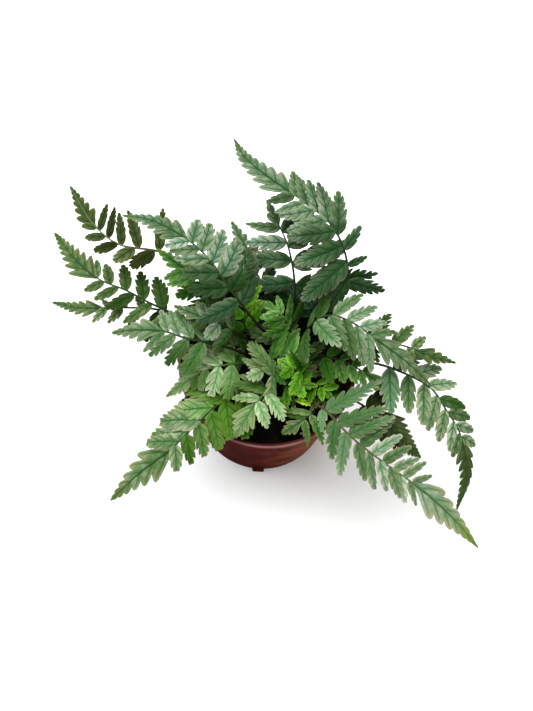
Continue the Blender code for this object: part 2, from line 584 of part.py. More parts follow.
# Each frond's root in the soil and the places that its stem goes through, out to the tip.
# blade is the leafy length, free and joined are the leaflets of one side, longest is the longest leaflet.
FRONDS = {
    "frond_back_tall": frond_plan(
        "green", (24, 20), [(38, 32, 112), (44, 44, 136), (41, 56, 150), (29, 72, 161), (6, 87, 164),
                            (-16, 104, 158), (-33, 120, 152), (-43, 139, 144)],
        blade=148, free=8, joined=9, longest=34, lean=(165, 50, 40), droop=(0.0, 0.12, 0.10),
        taper=1.0, sides=(0.95, 0.95), basal=(0.7, 1.0), turn=0.2, skew=10),
    "frond_back_middle": frond_plan(
        "blue", (16, 25), [(14, 33, 108), (9, 51, 129), (3, 66, 137), (-4, 79, 138), (-15, 101, 134)],
        blade=74, free=5, joined=3, longest=34, taper=0.6, sides=(1.1, 0.8), lean=(100, 78, 42),
        droop=(0.12, 0.12, 0.12), width=0.50),
    "frond_back_left": frond_plan(
        "blue", (9, 22), [(3, 29, 100), (-6, 40, 113), (-16, 53, 121), (-26, 69, 125), (-37, 87, 123)],
        blade=58, free=3, joined=4, longest=26, taper=0.7, stem=0.9, sides=(0.9, 0.6), width=0.5),
    "frond_left_back": frond_plan(
        "pale", (3, 18), [(-9, 14, 120), (-22, 17, 144), (-30, 22, 153), (-46, 38, 160), (-66, 53, 158),
                          (-88, 65, 150), (-108, 71, 140)],
        blade=118, free=6, joined=8, longest=34, taper=1.1, sides=(1.0, 1.2), lean=(72, 58, 40), skew=-4),
    "frond_left_rise": frond_plan(
        "young", (-3, 15), [(-17, 18, 112), (-34, 26, 126), (-50, 35, 132), (-66, 45, 131), (-83, 57, 126)],
        blade=62, free=4, joined=4, longest=24, taper=0.6, stem=0.85, sides=(1.1, 0.8)),
    "frond_left_dark": frond_plan(
        "olive", (-8, 27), [(-25, 34, 106), (-48, 46, 116), (-79, 58, 120), (-110, 61, 118),
                            (-131, 77, 112), (-155, 110, 102)],
        blade=104, free=5, joined=6, longest=26, taper=1.0, width=0.42, lift=0.30, lean=(90, 74, 46),
        skew=0, sides=(0.62, 1.40)),
    "frond_left_high": frond_plan(
        "green", (-10, 17), [(-28, 14, 101), (-45, 15, 107), (-65, 19, 110), (-83, 25, 109),
                             (-101, 33, 107), (-120, 40, 103), (-138, 53, 98), (-161, 78, 90)],
        blade=122, free=6, joined=7, longest=27, taper=0.8, lean=(66, 54, 38), stagger=-0.9),
    "frond_left_low": frond_plan(
        "green", (-15, 10), [(-31, 8, 93), (-50, 16, 97), (-74, 26, 97), (-106, 26, 93),
                             (-133, 25, 86), (-154, 29, 80)],
        blade=90, free=4, joined=7, longest=17, taper=0.6, sides=(1.2, 0.9)),
    "frond_left_broad": frond_plan(
        "pale", (-10, 3), [(-19, -3, 113), (-35, -6, 128), (-53, -6, 131), (-68, -2, 128), (-85, 0, 121),
                           (-104, -1, 112)],
        blade=74, free=4, joined=5, longest=26, taper=0.75, sides=(1.0, 1.0), width=0.5),
    "frond_left_inner": frond_plan(
        "green", (-6, 10), [(-19, 8, 114), (-32, 7, 130), (-47, 8, 137), (-65, 14, 134)],
        blade=52, free=3, joined=4, longest=20, stem=0.85, sides=(0.7, 1.0), width=0.5),
    "frond_left_pale": frond_plan(
        "pale", (-3, -4), [(-9, -8, 104), (-19, -11, 113), (-30, -16, 117), (-40, -20, 115),
                           (-52, -28, 109), (-63, -36, 100)],
        blade=58, free=4, joined=5, longest=23, stem=0.9, width=0.55),
    "frond_left_under": frond_plan(
        "olive", (-6, -12), [(-14, -20, 98), (-26, -27, 102), (-40, -31, 101), (-55, -38, 95)],
        blade=38, free=2, joined=5, longest=13, stem=0.8),
    "frond_front_left": frond_plan(
        "green", (4, -15), [(-3, -24, 98), (-12, -28, 105), (-26, -37, 108), (-41, -54, 104),
                            (-55, -70, 97), (-73, -85, 86), (-90, -103, 74)],
        blade=124, free=5, joined=8, longest=34, taper=0.9, sides=(1.0, 1.2), lean=(64, 52, 38),
        skew=14, width=0.46),
    "frond_front_pale": frond_plan(
        "pale", (11, -13), [(5, -25, 111), (-2, -35, 119), (-9, -47, 116), (-15, -60, 108)],
        blade=44, free=3, joined=5, longest=15, stem=0.85),
    "frond_front_right": frond_plan(
        "pale", (24, -13), [(32, -28, 106), (42, -36, 112), (58, -49, 110), (72, -56, 104),
                            (91, -64, 96), (114, -73, 85), (137, -86, 73), (155, -99, 62)],
        blade=156, free=7, joined=8, longest=38, taper=1.0, sides=(0.86, 1.0), basal=(1.1, 0.9),
        droop=(0.10, 0.12, 0.12), width=0.42),
    "frond_right_dark": frond_plan(
        "blue", (30, -6), [(44, -15, 100), (59, -22, 103), (74, -29, 102), (87, -37, 98), (98, -44, 93),
                           (108, -50, 87)],
        blade=58, free=3, joined=7, longest=15, taper=0.8, stem=0.85),
    "frond_right_high": frond_plan(
        "pale", (17, 14), [(20, 13, 110), (25, 17, 128), (35, 21, 136), (48, 17, 140), (65, 9, 137),
                           (87, -1, 130), (105, -11, 121)],
        blade=108, free=6, joined=7, longest=31, taper=0.75, lean=(78, 58, 40), skew=0),
    "frond_right_hooked": frond_plan(
        "green", (31, 5), [(46, 3, 100), (66, 3, 110), (86, -2, 114), (108, -10, 111), (120, -21, 104),
                           (130, -30, 96), (137, -41, 87), (142, -54, 76), (139, -75, 62)],
        blade=130, free=7, joined=7, longest=29, taper=0.7, sides=(0.95, 1.08), skew=-9, lean=(66, 50, 34)),
    "frond_right_middle": frond_plan(
        "green", (30, 15), [(42, 14, 110), (64, 12, 125), (87, 10, 128), (105, 8, 122), (123, 9, 114)],
        blade=74, free=3, joined=5, longest=23, stem=0.9, taper=1.1, sides=(1.2, 0.8)),
    "frond_right_young": frond_plan(
        "young", (24, 8), [(31, 4, 106), (41, 1, 114), (52, -3, 118), (69, -10, 115), (85, -18, 106)],
        blade=62, free=4, joined=4, longest=18, stem=0.8, sides=(0.9, 1.1), width=0.5),
    "frond_young_left": frond_plan(
        "young", (-2, 10), [(-12, 12, 102), (-19, 17, 116), (-19, 24, 124), (-16, 31, 128), (-11, 40, 128)],
        blade=40, free=3, joined=3, longest=15, stem=0.7, width=0.55),
    "frond_young_back": frond_plan(
        "young", (11, 16), [(12, 18, 108), (9, 21, 119), (2, 24, 124), (-5, 28, 125), (-11, 32, 121)],
        blade=38, free=3, joined=2, longest=16, taper=0.9, stem=0.7, width=0.58),
    "frond_young_middle": frond_plan(
        "young", (2, 3), [(0, -3, 104), (4, -3, 110), (12, -1, 113), (20, 3, 114), (30, 6, 112)],
        blade=38, free=3, joined=4, longest=17, stem=0.7, width=0.52, sides=(1.0, 0.75)),
    "frond_young_right": frond_plan(
        "young", (28, -12), [(30, -13, 98), (34, -16, 106), (39, -20, 109), (46, -26, 106)],
        blade=24, free=2, joined=3, longest=11, stem=0.6, width=0.55),
    "frond_young_low": frond_plan(
        "green", (35, -13), [(37, -17, 98), (40, -22, 102), (44, -28, 102), (49, -35, 98)],
        blade=24, free=1, joined=4, longest=9, stem=0.6),
    "frond_pale_middle": frond_plan(
        "pale", (11, -5), [(8, -13, 106), (3, -17, 115), (-6, -15, 121), (-17, -10, 120)],
        blade=33, free=1, joined=5, longest=13, stem=0.7, sides=(0.8, 1.0)),
    "frond_pale_front": frond_plan(
        "pale", (4, -9), [(0, -19, 100), (-4, -23, 106), (-12, -26, 105)],
        blade=20, free=1, joined=4, longest=11, stem=0.6),
    "frond_front_small": frond_plan(
        "young", (10, -20), [(8, -24, 96), (10, -30, 103), (14, -37, 98)],
        blade=21, free=1, joined=4, longest=10, stem=0.6),
    "frond_young_front": frond_plan(
        "young", (15, -13), [(15, -18, 103), (18, -20, 110), (25, -20, 113), (34, -18, 110)],
        blade=28, free=2, joined=3, longest=13, stem=0.6, width=0.55),
    "frond_low_middle": frond_plan(
        "blue", (14, 2), [(17, -2, 97), (22, -5, 101), (29, -6, 101), (38, -4, 97)],
        blade=32, free=2, joined=3, longest=14, stem=0.7, width=0.55),
    "frond_low_left": frond_plan(
        "blue", (-8, 6), [(-16, 6, 98), (-24, 6, 102), (-34, 7, 102), (-45, 8, 97)],
        blade=35, free=3, joined=3, longest=16, stem=0.7, width=0.55, sides=(1.0, 0.75)),
    "frond_low_back": frond_plan(
        "blue", (2, 22), [(-2, 25, 97), (-8, 30, 101), (-13, 37, 102), (-17, 46, 99)],
        blade=30, free=2, joined=3, longest=12, stem=0.7, width=0.50),
    "frond_newest": frond_plan(
        "newest", (19, -19), [(20, -23, 96), (21, -28, 102), (20, -35, 98)],
        blade=16, free=1, joined=3, longest=7, stem=0.55),
    "frond_front_cross": frond_plan(
        "pale", (27, -19), [(33, -28, 98), (34, -34, 104), (30, -39, 107), (23, -45, 105), (15, -50, 99)],
        blade=28, free=2, joined=4, longest=11, stem=0.6, width=0.50),
    "frond_young_cross": frond_plan(
        "young", (21, -7), [(25, -11, 109), (21, -13, 118), (14, -12, 122), (6, -8, 121)],
        blade=24, free=2, joined=3, longest=12, stem=0.6, width=0.55),
    "frond_dark_back": frond_plan(
        "blue", (23, 27), [(23, 30, 98), (25, 36, 105), (24, 45, 110), (20, 56, 111)],
        blade=30, free=3, joined=3, longest=15, stem=0.6, width=0.50),
    "frond_dark_centre": frond_plan(
        "green", (7, 8), [(6, 10, 97), (5, 14, 103), (1, 20, 105), (-5, 28, 103)],
        blade=24, free=2, joined=3, longest=11, stem=0.6, width=0.55, sides=(1.0, 0.8)),
}


def main():
    clear_scene()
    parts = new_collection("potted_lady_fern")
    joined = new_collection("joined_to_pot")
    pot_cutters = new_collection("pot_cutters")
    soil_cutters = new_collection("soil_cutters")
    make_pot(parts, pot_cutters, joined)
    for name, plan in FRONDS.items():
        grow_frond(parts, name, plan)
    roots = [(name, plan["root"], plan["stem"]) for name, plan in FRONDS.items()]
    make_soil(parts, soil_cutters, roots)


main()
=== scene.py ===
# Potted lady fern: finely lobed fronds, loose soil and a turned plastic pot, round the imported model
import json
import math
import random

import bmesh
import bpy
import numpy as np
from mathutils import Matrix, Vector, noise

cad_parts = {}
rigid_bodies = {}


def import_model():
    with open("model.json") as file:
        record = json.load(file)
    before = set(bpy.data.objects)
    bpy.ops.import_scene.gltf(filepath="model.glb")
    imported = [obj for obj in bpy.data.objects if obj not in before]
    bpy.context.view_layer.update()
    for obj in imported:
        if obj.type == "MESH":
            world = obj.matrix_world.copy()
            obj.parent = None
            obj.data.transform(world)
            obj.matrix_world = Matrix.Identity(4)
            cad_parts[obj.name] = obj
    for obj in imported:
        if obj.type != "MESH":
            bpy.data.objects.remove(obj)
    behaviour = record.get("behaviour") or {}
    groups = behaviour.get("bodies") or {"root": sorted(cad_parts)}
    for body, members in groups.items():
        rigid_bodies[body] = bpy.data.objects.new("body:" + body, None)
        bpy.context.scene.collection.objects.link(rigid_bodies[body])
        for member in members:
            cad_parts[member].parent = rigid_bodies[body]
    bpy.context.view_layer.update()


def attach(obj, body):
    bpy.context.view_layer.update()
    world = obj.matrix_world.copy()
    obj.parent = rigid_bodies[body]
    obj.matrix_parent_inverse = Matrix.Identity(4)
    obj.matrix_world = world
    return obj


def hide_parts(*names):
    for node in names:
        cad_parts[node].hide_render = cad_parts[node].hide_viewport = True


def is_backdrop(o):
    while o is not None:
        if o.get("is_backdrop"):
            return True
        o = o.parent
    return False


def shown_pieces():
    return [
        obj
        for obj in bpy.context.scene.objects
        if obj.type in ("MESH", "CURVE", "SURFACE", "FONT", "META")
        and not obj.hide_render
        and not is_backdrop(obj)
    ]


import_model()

mm = 0.001
scene = bpy.context.scene

# Camera, as found from the pot's rim and foot in the photograph
view = {
    "elevation": 67.6,
    "roll": 7.6,
    "distance": 0.700,
    "target": (-0.0016, 0.0045, 0.095),
    "focalPixels": 1041,
    "longSidePixels": 711,
    "sensor": 36,
    "nearest": 0.01,
}


def placeCamera():
    tilt, roll = math.radians(view["elevation"]), math.radians(view["roll"])
    sideways = Vector((1, 0, 0))
    flatUp = Vector((0, math.sin(tilt), math.cos(tilt)))
    back = Vector((0, -math.cos(tilt), math.sin(tilt)))
    right = sideways * math.cos(roll) + flatUp * math.sin(roll)
    up = flatUp * math.cos(roll) - sideways * math.sin(roll)
    lens = bpy.data.cameras.new("camera")
    lens.sensor_width = view["sensor"]
    lens.lens = view["focalPixels"] * view["sensor"] / view["longSidePixels"]
    lens.clip_start = view["nearest"]
    camera = bpy.data.objects.new("camera", lens)
    scene.collection.objects.link(camera)
    turn = Matrix((right, up, back)).transposed().to_4x4()
    camera.matrix_world = Matrix.Translation(Vector(view["target"]) + back * view["distance"]) @ turn
    scene.camera = camera


# Shader maths: a Wire is one socket, and sums on it add Math nodes to its finish
class Wire:
    def __init__(self, finish, socket):
        self.finish = finish
        self.socket = socket

    def maths(self, operation, *values):
        return self.finish.node("ShaderNodeMath", {"operation": operation}, dict(enumerate(values)))

    def __add__(self, other):
        return self.maths("ADD", self, other)

    def __sub__(self, other):
        return self.maths("SUBTRACT", self, other)

    def __rsub__(self, other):
        return self.maths("SUBTRACT", other, self)

    def __mul__(self, other):
        return self.maths("MULTIPLY", self, other)

    def __abs__(self):
        return self.maths("ABSOLUTE", self)

    __radd__ = __add__
    __rmul__ = __mul__

    def fraction(self):
        return self.maths("FRACT", self)

    def larger(self, other):
        return self.maths("MAXIMUM", self, other)

    # 0 below the first value, 1 above the second, and a smooth rise between
    def rise(self, low, high):
        settings = {"interpolation_type": "SMOOTHSTEP"}
        values = {"Value": self, "From Min": low, "From Max": high}
        return self.finish.node("ShaderNodeMapRange", settings, values)


class Finish:
    def __init__(self, name):
        self.material = bpy.data.materials.new(name)
        self.material.use_nodes = True
        self.tree = self.material.node_tree
        self.shader = self.tree.nodes["Principled BSDF"]

    def node(self, kind, settings, values, output=0):
        made = self.tree.nodes.new(kind)
        for name, value in settings.items():
            if name == "stops":
                while len(made.color_ramp.elements) < len(value):
                    made.color_ramp.elements.new(1.0)
                for stop, (place, colour) in zip(made.color_ramp.elements, value):
                    stop.position = place
                    stop.color = (*colour, 1.0)
            else:
                setattr(made, name, value)
        for name, value in values.items():
            self.feed(made.inputs[name], value)
        return Wire(self, made.outputs[output])

    def feed(self, socket, value):
        if isinstance(value, Wire):
            self.tree.links.new(value.socket, socket)
        elif socket.type == "RGBA":
            socket.default_value = (*value, 1.0)
        else:
            socket.default_value = value

    def attribute(self, name):
        return self.node("ShaderNodeAttribute", {"attribute_name": name}, {}, "Fac")

    def place(self):
        return self.node("ShaderNodeTexCoord", {}, {}, "Object")

    def noise(self, scale, detail=2.0, rough=0.5, stretch=(1, 1, 1)):
        place = self.node("ShaderNodeMapping", {}, {"Vector": self.place(), "Scale": stretch})
        values = {"Vector": place, "Scale": scale, "Detail": detail, "Roughness": rough}
        return self.node("ShaderNodeTexNoise", {}, values)

    def cells(self, scale):
        return self.node("ShaderNodeTexVoronoi", {}, {"Vector": self.place(), "Scale": scale}, "Distance")

    def mix(self, share, first, second, blend="MIX"):
        settings = {"data_type": "RGBA", "blend_type": blend}
        return self.node("ShaderNodeMix", settings, {0: share, 6: first, 7: second}, 2)

    def ramp(self, value, stops):
        return self.node("ShaderNodeValToRGB", {"stops": stops}, {"Fac": value})

    # A colour made lighter or darker by a share
    def shaded(self, colour, share):
        return self.node("ShaderNodeVectorMath", {"operation": "SCALE"}, {0: colour, "Scale": share})

    def bump(self, height, strength, depth):
        return self.node("ShaderNodeBump", {}, {"Height": height, "Strength": strength, "Distance": depth})

    def finish(self, colour, roughness, normal=None, **constants):
        self.feed(self.shader.inputs["Base Color"], colour)
        self.feed(self.shader.inputs["Roughness"], roughness)
        if normal:
            self.feed(self.shader.inputs["Normal"], normal)
        for name, value in constants.items():
            self.shader.inputs[name.replace("_", " ")].default_value = value
        return self.material


# What the finishes read at each point: the place among a leaflet's teeth, from edge to edge and from foot to tip,
# a tint, the place along the frond, and 1 on an underside
pointData = ("phase", "across", "part", "tint", "share", "under")


# A Body gathers the points and faces of one piece
class Body:
    def __init__(self):
        self.points = []
        self.faces = []
        self.slots = []
        self.data = {name: [] for name in pointData}
        self.count = 0

    def add(self, points, faces, slot=0, **data):
        points = np.asarray(points, float).reshape(-1, 3)
        self.points.append(points)
        self.faces += [tuple(int(i) + self.count for i in face) for face in faces]
        self.slots += [slot] * len(faces)
        for name in pointData:
            value = np.asarray(data.get(name, 0.0), float).ravel()
            self.data[name].append(np.broadcast_to(value, (len(points),)))
        self.count += len(points)

    def piece(self, name, finishes, sharpAngle=50):
        mesh = bpy.data.meshes.new(name)
        mesh.from_pydata(np.concatenate(self.points).tolist(), [], self.faces)
        for value in finishes:
            mesh.materials.append(value)
        mesh.polygons.foreach_set("material_index", self.slots)
        for key, parts in self.data.items():
            layer = mesh.attributes.new(key, "FLOAT", "POINT")
            layer.data.foreach_set("value", np.concatenate(parts).astype(np.float32))
        mesh.shade_smooth()
        mesh.set_sharp_from_angle(angle=math.radians(sharpAngle))
        mesh.validate()
        item = bpy.data.objects.new(name, mesh)
        scene.collection.objects.link(item)
        return item


def unit(vectors):
    return vectors / np.maximum(np.linalg.norm(vectors, axis=-1, keepdims=True), 1e-12)


def gridFaces(index):
    rows, columns = index.shape
    return [
        (index[i, j], index[i + 1, j], index[i + 1, j + 1], index[i, j + 1])
        for i in range(rows - 1)
        for j in range(columns - 1)
    ]


# Faces of closed rings one above the other, with a cap at either end
def ringFaces(rings, sides):
    index = np.arange(rings * sides).reshape(rings, sides)
    faces = []
    for i in range(rings - 1):
        for j in range(sides):
            k = (j + 1) % sides
            faces.append((index[i, j], index[i, k], index[i + 1, k], index[i + 1, j]))
    return faces + [tuple(index[0, ::-1]), tuple(index[-1])]


# A thin closed leaf body from a grid of places: top and underside meet along its outline
def addLeafBody(body, grid, upward, **data):
    rows, columns = grid.shape[:2]
    normal = unit(np.cross(np.gradient(grid, axis=0), np.gradient(grid, axis=1)))
    flip = float((normal * upward).sum(-1).mean()) < 0
    if flip:
        normal = -normal
    inside = np.zeros((rows, columns), bool)
    inside[1:-1, 1:-1] = True
    half = np.where(inside, frondShape["thickness"] / 2, 0.0)[..., None]
    lower = (grid - normal * half)[inside]
    top = np.arange(rows * columns).reshape(rows, columns)
    bottom = top.copy()
    bottom[inside] = rows * columns + np.arange(len(lower))
    faces = gridFaces(top) + [face[::-1] for face in gridFaces(bottom)]
    if flip:
        faces = [face[::-1] for face in faces]
    both = {"under": np.concatenate([np.zeros(rows * columns), np.ones(len(lower))])}
    for name, value in data.items():
        value = np.broadcast_to(value, (rows, columns))
        both[name] = np.concatenate([value.ravel(), value[inside]])
    body.add(np.concatenate([(grid + normal * half).reshape(-1, 3), lower]), faces, **both)


# A closed tube along places, each with a radius and two directions across it
def addTube(body, places, radii, across, up, sides, slot=0, groove=0.0, **data):
    angles = np.arange(sides) * math.tau / sides
    dip = 1 - groove * np.exp(-((angles - math.tau / 4) / frondShape["grooveWidth"]) ** 2)
    ring = across[:, None] * np.cos(angles)[None, :, None] + up[:, None] * np.sin(angles)[None, :, None]
    points = places[:, None] + ring * (radii[:, None] * dip[None, :])[..., None]
    along = {name: np.repeat(np.broadcast_to(value, (len(places),)), sides) for name, value in data.items()}
    body.add(points, ringFaces(len(places), sides), slot, **along)


# A closed body turned round Z from (radius, height) places
def turnedBody(body, profile, sides, bend=None):
    angles = np.arange(sides) * math.tau / sides
    radii, heights = np.array(profile)[..., None].swapaxes(0, 1)
    flat = (radii * np.cos(angles), radii * np.sin(angles))
    points = np.stack([*flat, np.broadcast_to(heights, flat[0].shape)], axis=-1)
    if bend:
        points = bend(points)
    body.add(points, ringFaces(len(profile), sides))


# What all fronds share. leafletRoom and leafletStretch are for blades of the two bladeSizes, with a smooth change
# between them. Steps are shares of a tooth, of a lobe or of the end, or the first and the last step on the stem.
# The Along values are places and the amounts there.
frondShape = {
    "pathSteps": 64,
    "spanSteps": 16,
    "rootDepth": 10 * mm,
    "footRise": 4.5 * mm,
    "thickness": 0.32 * mm,
    "leastHalf": 0.08 * mm,
    "columns": 5,
    "leafyShare": 0.975,
    "freeSteps": (1.0, 0.7),
    "joinedSteps": (1.0, 0.4),
    "bladeSizes": (40 * mm, 80 * mm),
    "leafletRoom": (1.32, 1.22),
    "leafletStretch": (1.48, 1.0),
    "leafletWiden": 1.06,
    "leafletSweep": (0.95, 0.30),
    "footSlant": 0.25,
    "footGrowth": 0.5,
    "widestFoot": 0.95,
    "intoStem": 0.2 * mm,
    "hook": 0.06,
    "breadth": 1.15,
    "fullness": 0.72,
    "bellyAt": 0.34,
    "neckAt": 0.07,
    "neck": 0.25,
    "fewestTeeth": 3,
    "toothSteps": (0.0, 0.10, 0.30, 0.52, 0.72, 0.86, 0.95),
    "toothPeak": 0.66,
    "toothCrowding": 1.08,
    "unevenTeeth": 0.30,
    "deepUntil": 0.35,
    "cutAtFoot": 1.15,
    "cutLoss": 0.9,
    "cutAlongLeaflet": ((0.0, 0.2, 0.5, 1.0), (0.1, 0.5, 1.0, 1.0)),
    "cutAlongTip": ((0.0, 0.3, 0.6, 1.0), (1.60, 1.15, 0.85, 0.60)),
    "deepestCut": 0.75,
    "deepestTipCut": 0.85,
    "cutGrowth": 0.32,
    "lobeSteps": (0.0, 0.08, 0.22, 0.42, 0.62, 0.80, 0.93),
    "lobePeak": 0.60,
    "lobeRound": 0.44,
    "lobeForward": 1.12,
    "lobeSideways": 0.80,
    "lobeCurve": 1.25,
    "notchBack": 0.6,
    "endSteps": (0.0, 0.3, 0.6, 0.85),
    "endSlope": 0.35,
    "endReach": 1.2 * mm,
    "endRound": 0.8 * mm,
    "veinSweep": 0.20,
    "veinWidth": 0.14,
    "veinFade": 0.8,
    "midribWidth": 0.10,
    "reliefDepth": 0.00036,
    "reliefShare": 0.08,
    "raised": 0.7,
    "waves": (7, 2),
    "tipRelief": 0.86,
    "tipWave": 0.02,
    "stemSides": 10,
    "stemSteps": 110,
    "stemThinning": 0.80,
    "stemEnds": (0.5 * mm, 1.2 * mm),
    "lead": 5 * mm,
    "rachisFrom": 12 * mm,
    "rachisRadius": 0.82 * mm,
    "rachisEnd": 0.30 * mm,
    "groove": 0.25,
    "grooveWidth": 0.42,
}

# How far leaflets differ by chance: degrees of lean, roll and twist, then shares of a leaflet's length or width.
# The pairs are a middle value and how far leaflets differ from it.
leafletChance = {
    "lean": 3,
    "roll": 7,
    "twist": 10,
    "length": 0.04,
    "droop": 0.03,
    "fold": (0.16, 0.06),
    "cup": (0.26, 0.05),
    "tipFold": (0.10, 0.04),
    "tipCup": (0.20, 0.04),
    "wave": 0.05,
    "tint": (0.5, 0.21),
}

# The usual frond. Pairs are for its left and right leaflets, seen from its root. Sizes are in mm.
usualFrond = {
    "stem": 1.0,  # radius at the soil
    "stemLook": "dark",
    "taper": 1.1,  # how leaflets shorten towards the tip
    "sides": (1.0, 1.0),  # length of the leaflets
    "basal": (1.0, 1.0),  # and once more of the lowest two
    "spreadLeft": ((0, 1), (1, 1)),  # and at shares of the blade
    "spreadRight": ((0, 1), (1, 1)),
    "stretch": 1.0,  # and of all
    "width": 0.46,  # of a leaflet, to its length
    "room": 1.0,  # and to its step on the stem, whichever is less
    "slim": (1.0, 1.0),  # wider over 1, narrower under it
    "lean": (66, 56, 42),  # degrees off the stem at the blade's foot, at its turn and at its tip
    "turn": 0.35,
    "skew": 8,  # degrees more on the left, less on the right, at the foot
    "stagger": 0.45,  # how far on the left leaflets are set, in half steps, or the right ones if under 0
    "lift": 0.10,  # a leaflet's rise from the stem
    "droop": (0.30, 0.20, 0.12),  # and its bend down
    "cut": 0.50,  # depth of a leaflet's teeth
    "deep": 1.0,  # and how much more at the blade's foot
    "pitch": 5.0,  # from tooth to tooth
    "foot": 0.40,  # a leaflet's width at its foot
    "point": 0.92,  # how pointed it is
    "tipShare": 0.42,  # how much of the blade is joined
    "tipSlope": 0.28,  # its half width to what is left of it
    "tipCut": 0.52,  # depth of its lobes
    "seed": 0,
}


# look: colours. root: x and y in the soil. route: the places that the stem goes through, out to the tip.
# blade: the leafy length. free and joined: leaflets of one side. longest: the longest leaflet.
def frondPlan(look, root, route, blade, free, joined, longest, **other):
    plan = {**usualFrond, "look": look, "free": free, "joined": joined, **other}
    plan["root"] = tuple(value * mm for value in root)
    plan["route"] = [tuple(value * mm for value in point) for point in route]
    plan["blade"], plan["longest"], plan["stem"] = blade * mm, longest * mm, plan["stem"] * mm
    return plan


